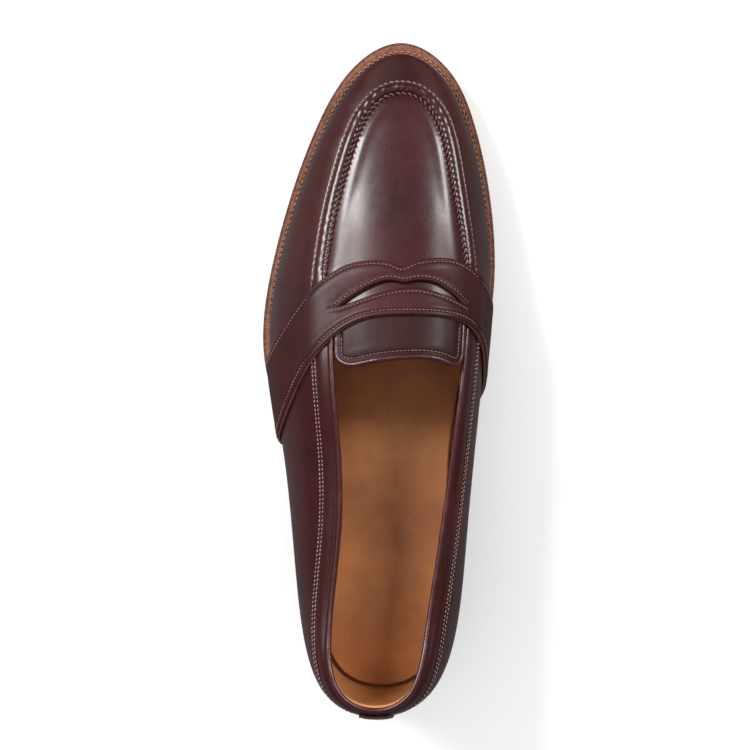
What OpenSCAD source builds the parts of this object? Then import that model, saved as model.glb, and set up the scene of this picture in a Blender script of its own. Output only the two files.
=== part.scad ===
// Men's penny loafer, left shoe, with a moccasin apron toe and a cut-out saddle strap.
// Units are millimetres. +Y points to the toe, +X to the inner (medial) side and +Z up.
// The origin is on the floor under the middle of the heel.

/* [Shoe] */
// Length of the outsole from the back of the heel to the tip of the toe
shoe_length = 305; // [285:1:325]
// Thickness of the leather outsole
outsole_t = 5; // [4:0.5:6]
// Thickness of the welt
welt_t = 3; // [2.5:0.5:4]
// Thickness of the insole
insole_t = 3.2; // [2.5:0.1:3.5]
// How far the front edge of the heel lies from its back
heel_length = 72; // [66:1:78]

/* [Upper] */
// Thickness of the outer leather
leather_t = 1.5; // [1.2:0.1:1.6]
// Thickness of the lining leather
lining_t = 0.9; // [0.7:0.1:1]
// Thickness of the stiffeners at the toe and the heel
stiffener_t = 0.5; // [0.4:0.1:0.8]
// Thickness of the saddle strap
strap_t = 1.6; // [1.4:0.1:2]
// Height of the last's ridge above the floor at the back of the heel
back_ridge = 107; // [102:1:112]

/* [Details] */
// Distance from one stitch to the next
stitch_pitch = 5; // [4:0.5:8]
// Radius of a stitch's thread
thread_r = 0.4; // [0.3:0.05:0.5]
// Number of nails in the heel
nail_count = 9; // [5:1:13]

/* [Hidden] */

gap = 0.15;                           // clearance between the layers of the sole
ply_gap = 0.25;                       // clearance between the layers of the upper
strap_gap = 0.5;                      // clearance under the strap and the back strip
heel_back = -36;                      // y of the back of the outsole
toe_tip = heel_back + shoe_length;    // y of the tip of the outsole
length_k = shoe_length / 305;         // stretches the lines along the shoe
heel_fan = heel_back + 34 * length_k; // y where the cross-sections start to fan round the heel
toe_fan = toe_tip - 45 * length_k;    // y where they start to fan round the toe
breast = heel_back + heel_length;     // y of the front face of the heel
stack = outsole_t + welt_t;           // from the bottom of the sole to the top of the welt

// Layers of the upper, as distances out from the surface of its outer leather.
stiff_gap = 0.42; // between the outer leather and a stiffener
lining_gap = 1.35; // between the outer leather and the lining; the stiffeners stand in it
stiff_out = -leather_t - stiff_gap;
stiff_in = stiff_out - stiffener_t;
lining_out = -leather_t - lining_gap;
lining_in = lining_out - lining_t;
strap_out = strap_gap + strap_t;
back_strip_t = 1.1;                   // thickness of the strip over the back seam

// ---- The lines of the shoe ----

// Each row is one point round the edge of the sole, from the back of the heel along the outer side
// to the toe (row TOE) and back along the inner side: x, distance from the back of the heel,
// reveal (sole edge to the widest line of the upper), undercut (widest line to feather line),
// height of the widest line over the feather line, fullness (the superellipse's exponent), and
// v of the topline.
TOE = 11;
LINES = [
    [0, 0, 1, 2.5, 22, 2.6, 1.4], [-24.5, 9, 0.8, 2.5, 21, 2.6, 1.53],
    [-34, 38, -0.8, 2.5, 20, 2.5, 1.62], [-35.8, 80, -4, 3, 19, 2.2, 1.69],
    [-41.2, 115, -3.3, 4, 18, 2, 1.676], [-54.9, 146, 4.8, 4, 16, 2, 1.665],
    [-57.2, 176, 4.7, 3, 13, 2.05, 1.663], [-52, 206, 4.8, 2.5, 12, 2.1, 1.66],
    [-43.4, 236, 5.2, 2.5, 11, 2.2, 1.66], [-32.2, 264, 5.4, 2.5, 10, 2.3, 1.6],
    [-16.3, 291, 5.6, 2.5, 9, 2.4, 1.55], [8.3, 305, 6, 2.5, 9, 2.4, 1.5],
    [31.2, 291, 4.8, 2.5, 9, 2.4, 1.48], [42.3, 266, 3.6, 2.5, 10, 2.5, 1.46],
    [48.7, 238, 3, 2.5, 11, 2.5, 1.46], [51.7, 208, 2.4, 2.5, 12, 2.5, 1.46],
    [50, 178, 1.3, 3.5, 16, 2.6, 1.465], [41.4, 148, -4.6, 6, 20, 2.8, 1.483],
    [33, 115, -9.8, 8, 21, 2.8, 1.52], [33, 80, -6.5, 5, 20, 2.7, 1.56],
    [34, 38, -1.3, 3, 20, 2.6, 1.61], [24.5, 9, 0.8, 2.5, 21, 2.6, 1.53]];

// Each row is one station along the shoe, at equal steps from the back of the heel to the toe:
// height of the sole's bottom, x of the ridge of the last and height of that ridge.
STATIONS = [[21, 0, back_ridge], [20.3, 0.5, 84], [16.6, 4.5, 78], [9.6, 8, 75.5],
    [3.4, 10.4, 77], [0.25, 10.9, 66.5], [1.2, 9.4, 51.5], [6.2, 8, 43.5], [14, 7.5, 31]];

// The apron seam in plan, from under the strap on the outer side round the toe and back: x and
// distance from the back of the heel.
SEAM = [[-25, 183], [-24, 198], [-20.9, 222], [-16.9, 239], [-12.4, 254.5], [-7.2, 268],
    [0.6, 277.5], [9, 279.6], [17.6, 277.6], [25.3, 268.5], [29.7, 256], [33, 238.5], [36, 222],
    [39.2, 203], [41.2, 183]];

// Edges of the saddle strap, as distances from the back of the heel, at equal steps across from
// the outer (w = -2) to the inner feather line (w = 2).
STRAP_FRONT = [152, 153, 154, 155, 156, 157.5, 161.5, 176, 195, 204.3, 204, 205.8, 204, 198, 191,
    183.4, 181.7, 180.2, 179.1, 178.4, 178];
STRAP_REAR = [116, 116.5, 117, 118, 119.5, 122, 128, 142, 163.3, 178.2, 180.9, 180.6, 178.3,
    172.4, 162.6, 149.4, 145.4, 141.6, 138.4, 136, 134.5];
// Edges of the slot in it, at equal steps across its width, from SLOT_W[0] to SLOT_W[1].
SLOT_W = [-0.29, 0.44];
SLOT_FRONT = [184.3, 189.1, 193.2, 196, 196.4, 196.3, 195.8, 194.2, 191.6, 188.8, 185.2];
SLOT_REAR = [183.8, 186.2, 188.8, 191, 192.4, 192.6, 191.6, 190.2, 188.6, 186.8, 184.6];

// Makes the control points of a cubic B-spline that passes nearly through the rows.
function through_loop(rows) = let (n = len(rows)) [for (i = [0:n - 1])
    rows[i] - (rows[(i + n - 1) % n] - 2 * rows[i] + rows[(i + 1) % n]) / 6];
function through_line(rows) = let (n = len(rows), body = [for (i = [0:n - 1]) i == 0 || i == n - 1
    ? rows[i] : rows[i] - (rows[i - 1] - 2 * rows[i] + rows[i + 1]) / 6])
    concat([2 * body[0] - body[1]], body, [2 * body[n - 1] - body[n - 2]]);
function spline(a, b, c, d, t) = (a * pow(1 - t, 3) + b * (3 * t * t * t - 6 * t * t + 4)
    + c * (-3 * t * t * t + 3 * t * t + 3 * t + 1) + d * t * t * t) / 6;
// The point at t, from 0 to 1, of a line made by through_line.
function on_line(ctrl, t) = let (last = len(ctrl) - 3, s = max(0, min(last - 1e-6, t * last)),
    i = floor(s)) spline(ctrl[i], ctrl[i + 1], ctrl[i + 2], ctrl[i + 3], s - i);
function lerp(a, b, t) = a + (b - a) * t;
function unit(a) = a / max(norm(a), 1e-9);

loop = through_loop(LINES);
stations = through_line(STATIONS);
seam_line = through_line(SEAM);
front_line = through_line(STRAP_FRONT);
rear_line = through_line(STRAP_REAR);
slot_front_line = through_line(SLOT_FRONT);
slot_rear_line = through_line(SLOT_REAR);
LOOP_N = len(LINES);

function round_at(u) = let (n = LOOP_N, i = floor(u) + n,
    r = spline(loop[(i - 1) % n], loop[i % n], loop[(i + 1) % n], loop[(i + 2) % n], u - floor(u)))
    [r[0], heel_back + r[1] * length_k, r[2], r[3], r[4], r[5], r[6]];
function along_at(y) = on_line(stations, (y - heel_back) / shoe_length);
function sole_z(y) = along_at(y)[0];
function feather_z(y) = sole_z(y) + stack + gap;
function hub(y) = let (c = max(heel_fan, min(toe_fan, y))) [along_at(c)[1], c];

// Finds where the sole's edge is level with y, on the outer (-1) or the inner (1) side.
function search_y(y, side, lo, hi, n) = n == 0 ? (lo + hi) / 2 : let (mid = (lo + hi) / 2,
    below = round_at(mid)[1] < y) (side < 0) == below ? search_y(y, side, mid, hi, n - 1)
    : search_y(y, side, lo, mid, n - 1);
function side_u(y, side) = side < 0 ? search_y(y, -1, 0.02, TOE, 20)
    : search_y(y, 1, TOE, LOOP_N - 0.02, 20);

// Finds the ray of the toe's fan that passes through a point.
function search_turn(p, lo, hi, n) = n == 0 ? (lo + hi) / 2 : let (mid = (lo + hi) / 2,
    r = round_at(mid), c = hub(toe_tip),
    turn = (r[0] - c[0]) * (p[1] - c[1]) - (r[1] - c[1]) * (p[0] - c[0]))
    turn < 0 ? search_turn(p, mid, hi, n - 1) : search_turn(p, lo, mid, n - 1);
FAN = [side_u(toe_fan, -1), side_u(toe_fan, 1)];
function ray_of(x, y) = y > toe_fan ? search_turn([x, y], FAN[0], FAN[1], 20)
    : side_u(y, x < along_at(y)[1] ? -1 : 1);

// A point of the upper: u goes round the sole's edge, v is 0 at the feather line, 1 at the widest
// line and 2 on the ridge, and e is the distance out from the outer surface.
function skin(u, v, e) = let (r = round_at(u), c = hub(r[1]), out = [r[0], r[1]] - c,
    way = unit(out), reach = norm(out) - r[2] + e) v <= 1
    ? let (p = c + way * (reach - r[3] * (1 - sin(90 * v))))
        [p[0], p[1], feather_z(p[1]) + r[4] * (1 - cos(90 * v))]
    : let (a = 90 * (v - 1), p = c + way * reach * pow(max(cos(a), 0), 2 / r[5]),
        low = feather_z(p[1]) + r[4])
        [p[0], p[1], low + (along_at(p[1])[2] + e - low) * pow(sin(a), 2 / r[5])];
function v_at(x, y, u, e) = let (r = round_at(u), c = hub(y), far = hub(r[1]))
    1 + acos(pow(min(1, norm([x, y] - c) / (norm([r[0], r[1]] - far) - r[2] + e)), r[5] / 2)) / 90;
// The point e out from the point of the outer surface over x and y.
function on_top(x, y, e) = let (u = ray_of(x, y)) skin(u, v_at(x, y, u, 0), e);
// The same surface by w, from -2 at the outer to 2 at the inner feather line, and by y.
function at(w, y, e) = skin(side_u(y, w < 0 ? -1 : 1), 2 - abs(w), e);
// The step in v that moves a point down the surface by a distance.
function v_step(u, v, down) = down * 0.02 / norm(skin(u, v, 0) - skin(u, v - 0.02, 0));

function seam(s) = let (p = on_line(seam_line, s)) [p[0], heel_back + p[1] * length_k];
notch_depth = 2.4; // depth of the notch in the middle of the strap's front edge
notch_w = 0.045;   // its half width, as w
DIP = [0.6, 1.3];  // keeps the slope of the strap's edges even over the inner widest line
dip_w = 0.06;      // its half width, as w
function dip(w) = exp(-abs(w - 1) / dip_w);
function strap_front(w) = heel_back + length_k * (on_line(front_line, (w + 2) / 4)
    - notch_depth * exp(-pow(w / notch_w, 2)) - DIP[0] * dip(w));
function strap_rear(w) = heel_back + length_k * (on_line(rear_line, (w + 2) / 4)
    - DIP[1] * dip(w));
function slot_t(w) = (w - SLOT_W[0]) / (SLOT_W[1] - SLOT_W[0]);
function in_slot(w) = w > SLOT_W[0] && w < SLOT_W[1];
// Beyond the slot its edges run on as two close lines at a part of the strap's width.
BEYOND = [0.615, 0.735]; // that part on the outer and on the inner side
function beyond(w) = lerp(strap_front(w), strap_rear(w), BEYOND[w < 0 ? 0 : 1]);
line_gap = 0.25; // half the gap between the two lines
function slot_front(w) = in_slot(w) ? heel_back + length_k * on_line(slot_front_line, slot_t(w))
    : beyond(w) + line_gap;
function slot_rear(w) = in_slot(w) ? heel_back + length_k * on_line(slot_rear_line, slot_t(w))
    : beyond(w) - line_gap;
// y of the butt joint between vamp and quarter, hidden under the wings of the strap.
joint_part = 0.4;
function joint_y(w) = lerp(strap_rear(w), strap_front(w), joint_part);

// ---- Solids from grids of points ----

// Closes the solid between two grids of the same size. Rows run to the toe and columns to the
// inner side, or rows to the inner side and columns to the heel. cells marks openings with 1.
function quad(a, b, c, d) = [[a, c, b], [a, d, c]];
module sheet(top, low, cells = []) {
    n = len(top);
    m = len(top[0]);
    s = n * m;
    function id(i, j) = i * m + j;
    function open(i, j) = i < 0 || j < 0 || i > n - 2 || j > m - 2
        || (len(cells) > 0 && cells[i][j] == 1);
    faces = [for (i = [0:n - 2]) for (j = [0:m - 2]) if (!open(i, j)) each concat(
        quad(id(i, j), id(i, j + 1), id(i + 1, j + 1), id(i + 1, j)),
        quad(s + id(i, j), s + id(i + 1, j), s + id(i + 1, j + 1), s + id(i, j + 1)),
        open(i - 1, j) ? quad(id(i, j + 1), id(i, j), s + id(i, j), s + id(i, j + 1)) : [],
        open(i + 1, j) ? quad(id(i + 1, j), id(i + 1, j + 1), s + id(i + 1, j + 1),
            s + id(i + 1, j)) : [],
        open(i, j - 1) ? quad(id(i, j), id(i + 1, j), s + id(i + 1, j), s + id(i, j)) : [],
        open(i, j + 1) ? quad(id(i + 1, j + 1), id(i, j + 1), s + id(i, j + 1),
            s + id(i + 1, j + 1)) : [])];
    polyhedron(concat([for (r = top) each r], [for (r = low) each r]), faces, convexity = 6);
}

// Sweeps a hexagon along a path.
module tube(path, r) {
    n = len(path);
    rings = [for (i = [0:n - 1]) let (t = unit(path[min(n - 1, i + 1)] - path[max(0, i - 1)]),
        side = unit(cross(t, [0, 0, 1])), up = cross(side, t))
        each [for (k = [0:5]) path[i] + r * (side * cos(60 * k) + up * sin(60 * k))]];
    faces = [for (i = [0:n - 2]) for (k = [0:5]) let (a = i * 6 + k, b = i * 6 + (k + 1) % 6)
        each [[a, b, b + 6], [a, b + 6, a + 6]]];
    polyhedron(rings, concat(faces, [[5, 4, 3, 2, 1, 0]], [[for (k = [0:5]) (n - 1) * 6 + k]]),
        convexity = 6);
}

// Resamples a path at equal steps.
function lengths(path) = [for (i = 0, a = 0; i < len(path);
    a = a + (i < len(path) - 1 ? norm(path[i + 1] - path[i]) : 0), i = i + 1) a];
function spaced(path, step) = let (far = lengths(path), total = far[len(far) - 1],
    n = max(1, round(total / step)))
    [for (k = [0:n]) [for (c = [0:2]) lookup(total * k / n,
        [for (i = [0:len(path) - 1]) [far[i], path[i][c]]])]];

// Rows of separate stitches along paths, all in one polyhedron. Each is a slim octahedron.
stitch_free = 0.1; // part of the pitch left free at each end of a stitch
function stitch_ends(paths) = [for (p = paths) let (q = spaced(p, stitch_pitch))
    for (k = [0:len(q) - 2]) [lerp(q[k], q[k + 1], stitch_free), lerp(q[k + 1], q[k], stitch_free)]];
module stitches(paths, r = thread_r) {
    ends = stitch_ends(paths);
    points = [for (s = ends) let (t = unit(s[1] - s[0]), mid = (s[0] + s[1]) / 2,
        side = unit(cross(t, abs(t[2]) > 0.9 ? [1, 0, 0] : [0, 0, 1])), up = cross(side, t))
        each [s[0], mid + side * r, mid + up * r, mid - side * r, mid - up * r, s[1]]];
    faces = [for (k = [0:len(ends) - 1]) for (c = [0:3]) let (o = 6 * k, a = o + 1 + c,
        b = o + 1 + (c + 1) % 4) each [[o, a, b], [o + 5, b, a]]];
    polyhedron(points, faces, convexity = 10);
}

// ---- Sole unit ----

// A point in from the sole's edge (k = 0) or from the feather line (k = 1).
function rim(u, inset, k) = let (r = round_at(u), c = hub(r[1]), out = [r[0], r[1]] - c)
    c + unit(out) * (norm(out) - inset - k * (r[2] + r[3]));
TIP = 0.15; // part of the loop taken by the end row of a plate at heel and toe
function plate_row(l, r, m, inset, k) = [for (j = [0:m]) l <= TIP ? rim(l * (1 - 2 * j / m),
    inset, k) : l >= TOE - TIP ? rim(lerp(l, r, j / m), inset, k)
    : lerp(rim(l, inset, k), rim(r, inset, k), j / m)];
function plate_rows(from, to, n, m, inset, k) = [for (i = [0:n])
    plate_row(lerp(from[0], to[0], i / n), lerp(from[1], to[1], i / n), m, inset, k)];
// Lifts plan rows to part f of the sole's height, plus h.
function lifted(rows, f, h) = [for (r = rows) [for (p = r) [p[0], p[1], sole_z(p[1]) * f + h]]];
HEEL_END = [TIP, LOOP_N - TIP];
TOE_END = [TOE - TIP, TOE + TIP];
function level(y) = [side_u(y, -1), side_u(y, 1)];
module plate(from, to, n, m, inset, k, f_top, top, f_low, low, low_inset = 0) {
    sheet(lifted(plate_rows(from, to, n, m, inset, k), f_top, top),
        lifted(plate_rows(from, to, n, m, inset + low_inset, k), f_low, low));
}

sole_taper = 0.3; // how far the outsole draws in down to its bottom
module outsole() {
    color("sienna") plate(HEEL_END, TOE_END, 36, 5, 0, 0, 1, outsole_t, 1, 0, sole_taper);
}

// A strip of the welt or the rand between two values of u.
welt_inset = 4; // how far the welt reaches in past the feather line
module welt_strip(u0, u1, n, inset) {
    edge = [for (i = [0:n]) let (u = lerp(u0, u1, i / n)) [for (t = [0, 0.5, 1])
        lerp(rim(u, inset, 0), rim(u, welt_inset, 1), t)]];
    sheet(lifted(edge, 1, stack), lifted(edge, 1, outsole_t + gap));
}
welt_lap = 8; // how far the welt runs on behind the front edge of the heel
welt_start = side_u(breast - welt_lap, -1);
welt_end = side_u(breast - welt_lap, 1);
joint_gap = 0.01; // gap in u between the ends of the welt and of the rand
welt_in = 0.2; // from the sole's edge in to the welt's
rand_in = 0.4; // from the sole's edge in to the rand's
module welt() {
    color("saddlebrown") welt_strip(welt_start + joint_gap, welt_end - joint_gap, 54, welt_in);
}
module heel_rand() {
    color("saddlebrown") welt_strip(welt_end - LOOP_N + joint_gap, welt_start - joint_gap, 14,
        rand_in);
}

// The heel is a stack of lifts, each a part of the height under the sole.
LIFTS = [0, 0.3, 0.53, 0.76, 1];
heel_taper = 2.4; // how far the heel draws in down to the floor
heel_in = 0.6;    // from the sole's edge in to the top of the heel
module heel_layer(k, from, to, n) {
    low = LIFTS[k] == 0 ? 0 : gap / 2;
    plate(from, to, n, 6, heel_in + heel_taper * (1 - LIFTS[k + 1]), 0, LIFTS[k + 1], -gap / 2,
        LIFTS[k], low, heel_taper * (LIFTS[k + 1] - LIFTS[k]));
}
module heel_lift_upper() {
    color("saddlebrown") heel_layer(3, HEEL_END, level(breast), 9);
}
module heel_lift_middle() {
    color("sienna") heel_layer(2, HEEL_END, level(breast - 1), 9);
}
module heel_lift_lower() {
    color("saddlebrown") heel_layer(1, HEEL_END, level(breast - 2), 9);
}
rubber_to_breast = 38; // length of the leather part of the top piece, with the breast's slope
split_y = breast - rubber_to_breast; // y of the joint between the rubber and the leather of the top piece
module top_piece_leather() {
    color("sienna") heel_layer(0, level(split_y + gap), level(breast - 3), 5);
}
module top_piece_rubber() {
    color("dimgray") heel_layer(0, HEEL_END, level(split_y - gap), 6);
}

// Brass nails set into the leather half of the top piece.
nail_inset = 7; // from the heel's edge to the nails
nail_r = 0.9;   // radius of a nail
nail_l = 3;     // length of a nail
nail_z = 0.02;  // height of a nail's foot over the floor
nail_from = 5;  // from the joint with the rubber to the first nails
nail_to = 9;    // from the last nails to the breast
module heel_nails() {
    color("goldenrod") for (i = [0:nail_count - 1]) {
        l = lerp(split_y + nail_from, breast - nail_to,
            floor(i / 2) / max(1, ceil(nail_count / 2) - 1));
        p = rim(side_u(l, i % 2 == 0 ? -1 : 1), nail_inset, 0);
        translate([p[0], p[1], nail_z]) cylinder(h = nail_l, r = nail_r, $fn = 24);
    }
}

// The steel shank bridges the waist between outsole and insole.
shank_w = 14;  // width of the shank
shank_t = 1.4; // thickness of the shank
shank_span = [-28, 72]; // its two ends, from the front edge of the heel
shank_side = 0.5; // x of the shank as a part of x of the last's ridge
module shank() {
    rows = [for (i = [0:12]) let (y = breast + lerp(shank_span[0], shank_span[1], i / 12))
        [for (x = [-1:1:1]) [along_at(y)[1] * shank_side + x * shank_w / 2, y]]];
    color("silver") sheet(lifted(rows, 1, outsole_t + gap + shank_t), lifted(rows, 1, outsole_t + gap));
}
cork_from = 76; // from the heel's front edge to the start of the cork
cork_gap = 0.5; // between the cork and the welt
module cork_filler() {
    color("burlywood") plate(level(breast + cork_from), TOE_END, 20, 5, welt_inset + cork_gap, 1,
        1, stack - gap, 1, outsole_t + gap);
}
rim_gap = 0.6; // between the lining and the insole
inner_rim = -lining_in + rim_gap; // from the feather line in to the edge of the insole
module insole() {
    color("tan") plate(HEEL_END, TOE_END, 28, 5, inner_rim, 1, 1, stack + gap + insole_t,
        1, stack + gap);
}
sock_t = 1; // thickness of the sock lining
sock_in = 0.6; // from the insole's edge in to the edge of the sock lining
module sock_lining() {
    color("peru") plate(HEEL_END, TOE_END, 28, 5, inner_rim + sock_in, 1,
        1, stack + 2 * gap + insole_t + sock_t, 1, stack + 2 * gap + insole_t);
}

// ---- Upper ----

// The grid of a quarter, or of its lining, from t = 0 at the back seam to t = 1 under the strap.
function topline_v(u) = round_at(u)[6];
front_v = 1.66; // v at which a quarter ends under the strap
inner_front_v = 1.463; // the same on the inner side
joint_gap_y = 1.2; // half the gap between vamp and quarter
function joint_u(t, side, down = 0) = let (v = side < 0 ? front_v : inner_front_v,
    u = side_u(joint_y(side * (2 - v)), side), end = v - (down > 0 ? v_step(u, v, down) : 0))
    side_u(joint_y(side * (2 - t * end)) - joint_gap_y, side) - (side < 0 ? 0 : LOOP_N);
function joint_us(side, m, down) = [for (j = [0:m]) joint_u(j / m, side, down)];
function quarter_row(s, ends, m, e, down) = [for (j = [0:m]) let (u = s * ends[j])
    skin(u, j / m * (topline_v(u) - v_step(u, topline_v(u), down)), e)];
QUARTER_N = 26; // cells along a quarter
QUARTER_M = 10; // cells up a quarter
back_gap = 0.006; // half the gap at the back seam
function quarter_rows(side, e, down, n, m, s0 = back_gap) = let (ends = joint_us(side, m, down))
    [for (i = [0:n]) quarter_row(lerp(s0, 1, side < 0 ? i / n : 1 - i / n), ends, m, e, down)];
quarter_top = 1; // from the topline down to the top edge of a quarter
lining_top = 3;  // the same of the lining
module quarter(side) {
    color("#4a1c20") sheet(quarter_rows(side, 0, quarter_top, QUARTER_N, QUARTER_M),
        quarter_rows(side, -leather_t, quarter_top, QUARTER_N, QUARTER_M));
}
module quarter_lateral() {
    quarter(-1);
}
module quarter_medial() {
    quarter(1);
}
back_s = 0.04; // part of each half of the lining that its middle cells at the heel take up
function around(e) = [for (side = [1, -1]) each quarter_rows(side, e, lining_top, 20, 8, back_s)];
module quarter_lining() {
    color("tan") sheet(around(lining_out), around(lining_in));
}

// The heel counter stands between the quarters and their lining.
stiff_v = 0.34; // v of the lower edge of the stiffeners
counter_u = 2.6; // how far the counter runs along each side, as u
counter_v = 1.2; // how far it runs up, as v
COUNTER_N = 28; // cells round the counter
COUNTER_M = 5;  // cells up the counter
counter_fall = 0.3; // part of its height by which it falls to its ends
function counter_rows(e) = [for (i = [0:COUNTER_N])
    let (u = lerp(-counter_u, counter_u, i / COUNTER_N),
        high = counter_v * (1 - counter_fall * pow(abs(u) / counter_u, 3)))
    [for (j = [0:COUNTER_M]) skin(u, lerp(stiff_v, high, j / COUNTER_M), e)]];
module heel_counter() {
    color("wheat") sheet(counter_rows(stiff_out), counter_rows(stiff_in));
}
strip_u = 0.3; // half the width of the strip over the back seam, as u
strip_top = 3; // from the topline down to the top of the strip
function strip_rows(e) = [for (i = [0:4]) let (u = lerp(-strip_u, strip_u, i / 4))
    [for (j = [0:10]) let (v = topline_v(u)) skin(u, (v - v_step(u, v, strip_top)) * j / 10, e)]];
module back_strip() {
    color("#4a1c20") sheet(strip_rows(strap_gap + back_strip_t), strip_rows(strap_gap));
}

// The vamp goes round the toe from wing to wing, up to the apron seam. Its upper margin rises in
// a roll between the seam and the ridge row of stitches.
SEAM_N = 50; // cells along the apron seam
ROLL_M = 4;  // cells across the roll
WALL_M = 9;  // cells up the plain part of the wall
roll_w = 5.8;    // width of the roll
roll_h = 1.1;    // height of the roll
seam_gap = 0.25; // half the gap between vamp and apron
function seam_ray(s) = let (p = seam(s)) ray_of(p[0], p[1]);
function seam_v(s) = let (p = seam(s), u = seam_ray(s)) v_at(p[0], p[1], u, 0);
// Fades the roll out under the strap.
roll_from = heel_back + length_k * 203; // y where the roll starts in front of the strap
roll_rise = 8; // length over which it rises to its height
function in_front(y) = max(0, min(1, (y - roll_from) / roll_rise));
turn_s = 0.3; // part of the seam, at each end, over which the rows turn along the joint with a quarter
function vamp_row(s, e, roll, roll_m) = let (us = seam_ray(s), vs = seam_v(s),
    v1 = vs - v_step(us, vs, seam_gap), v0 = vs - v_step(us, vs, roll_w),
    side = s < 0.5 ? -1 : 1, fade = pow(max(0, 1 - min(s, 1 - s) / turn_s), 2),
    end = side_u(seam(side < 0 ? 0 : 1)[1], side))
    [for (j = [0:WALL_M + roll_m]) let (k = max(0, j - WALL_M) / roll_m,
        v = j <= WALL_M ? v0 * j / WALL_M : lerp(v0, v1, k),
        shift = fade <= 0 ? 0 : fade * (side_u(joint_y(side * (2 - v)) + joint_gap_y, side) - end))
        skin(us + shift, v, e + roll * roll_h * in_front(seam(s)[1]) * sin(180 * k))];
function vamp_rows(e, roll, roll_m) = [for (i = [0:SEAM_N]) vamp_row(i / SEAM_N, e, roll, roll_m)];
roll_inside = 0.9; // height of the roll's inner side, as a part of roll_h
module vamp() {
    color("#4a1c20") sheet(vamp_rows(0, 1, ROLL_M), vamp_rows(-leather_t, roll_inside, ROLL_M));
}
module vamp_lining() {
    color("tan") sheet(vamp_rows(lining_out, 0, 1), vamp_rows(lining_in, 0, 1));
}
puff_s = 0.22;  // part of the seam, from each end, where there is no toe puff
puff_v = 1.25;  // how far the puff runs up, as v
PUFF_N = 22; // cells round the puff
PUFF_M = 5;  // cells up the puff
function puff_rows(e) = [for (i = [0:PUFF_N])
    let (u = seam_ray(lerp(puff_s, 1 - puff_s, i / PUFF_N)))
    [for (j = [0:PUFF_M]) skin(u, lerp(stiff_v, puff_v, j / PUFF_M), e)]];
module toe_puff() {
    color("wheat") sheet(puff_rows(stiff_out), puff_rows(stiff_in));
}

// The apron fills the seam. Each row spans it from side to side; the last row follows the seam.
apron_s = 0.492;                 // s of the seam where the apron's last row starts
apron_mid = [7, toe_fan - 60];   // a point inside the apron that its edge draws in towards
function apron_row(i, n, m, e) = let (s = apron_s * sin(90 * i / n), l = seam(s), r = seam(1 - s))
    [for (j = [0:m]) let (p = i == n ? seam(lerp(s, 1 - s, j / m)) : lerp(l, r, j / m),
        q = p + unit(apron_mid - p) * seam_gap * (i == n || j == 0 || j == m ? 1 : 0))
        on_top(q[0], q[1], e)];
function apron_rows(e, n, m) = [for (i = [0:n]) apron_row(i, n, m, e)];
module apron() {
    color("#4a1c20") sheet(apron_rows(0, 26, 10), apron_rows(-leather_t, 26, 10));
}
module apron_lining() {
    color("tan") sheet(apron_rows(lining_out, 20, 8), apron_rows(lining_in, 20, 8));
}

// The saddle strap crosses the instep from welt to welt, with a slot in the middle.
strap_w = 1.97; // w of the strap's ends, just above the feather line
slot_side = 0.07; // from an end of the slot to the next row of the strap, as w
STRAP_W = concat([for (i = [0:13]) lerp(-strap_w, SLOT_W[0] - slot_side, i / 13)],
    [for (i = [0:16]) lerp(SLOT_W[0], SLOT_W[1], i / 16)],
    [for (i = [0:12]) lerp(SLOT_W[1] + slot_side, strap_w, i / 12)]);
function strap_row(w, e) = let (a = strap_front(w), b = slot_front(w), c = slot_rear(w),
    d = strap_rear(w)) [for (y = [a, lerp(a, b, 0.5), b, c, lerp(c, d, 0.5), d]) at(w, y, e)];
module saddle_strap() {
    n = len(STRAP_W);
    holes = [for (i = [0:n - 2]) let (mid = (STRAP_W[i] + STRAP_W[i + 1]) / 2)
        [for (j = [0:4]) j == 2 && in_slot(mid) ? 1 : 0]];
    color("#5a2228") sheet([for (w = STRAP_W) strap_row(w, strap_out)],
        [for (w = STRAP_W) strap_row(w, strap_gap)], holes);
}

// The tongue, a flap that continues the apron behind the strap.
TONGUE_W = [-0.291, 0.451]; // w of its two sides
tongue_end = 157.3;        // distance of its free edge from the back of the heel
tongue_corner = 7;         // how far its corners draw back
tongue_root_gap = 1;       // from the strap's edge to the tongue
corner_from = 0.72;        // part of its half width where a corner starts
corner_k = 0.98;           // fullness of a corner; at 1 it would meet the side without an angle
edge_arch = 6.2;           // how far the middle of its free edge lies in front of the sides
function tongue_w(t) = lerp(TONGUE_W[0], TONGUE_W[1], (1 - cos(180 * t)) / 2);
function tongue_edge(w) = let (mid = (TONGUE_W[0] + TONGUE_W[1]) / 2,
    half = (TONGUE_W[1] - TONGUE_W[0]) / 2, k = abs(w - mid) / half,
    c = max(0, (k - corner_from) / (1 - corner_from))) heel_back + length_k * (tongue_end
    + edge_arch * (1 - k * k)) + tongue_corner * (1 - sqrt(max(0, 1 - corner_k * c * c)));
function tongue_rows(e, n, m) = [for (i = [0:n]) let (w = tongue_w(i / n))
    [for (j = [0:m]) at(w, lerp(strap_rear(w) - tongue_root_gap, tongue_edge(w), j / m), e)]];
tongue_drop = -0.3;  // e of the tongue's surface
module tongue() {
    color("#4a1c20") sheet(tongue_rows(tongue_drop, 18, 6),
        tongue_rows(tongue_drop - leather_t, 18, 6));
}
tongue_lining_t = 0.8; // thickness of the tongue's lining
module tongue_lining() {
    out = tongue_drop - leather_t - ply_gap;
    color("tan") sheet(tongue_rows(out, 18, 4), tongue_rows(out - tongue_lining_t, 18, 4));
}
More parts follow.
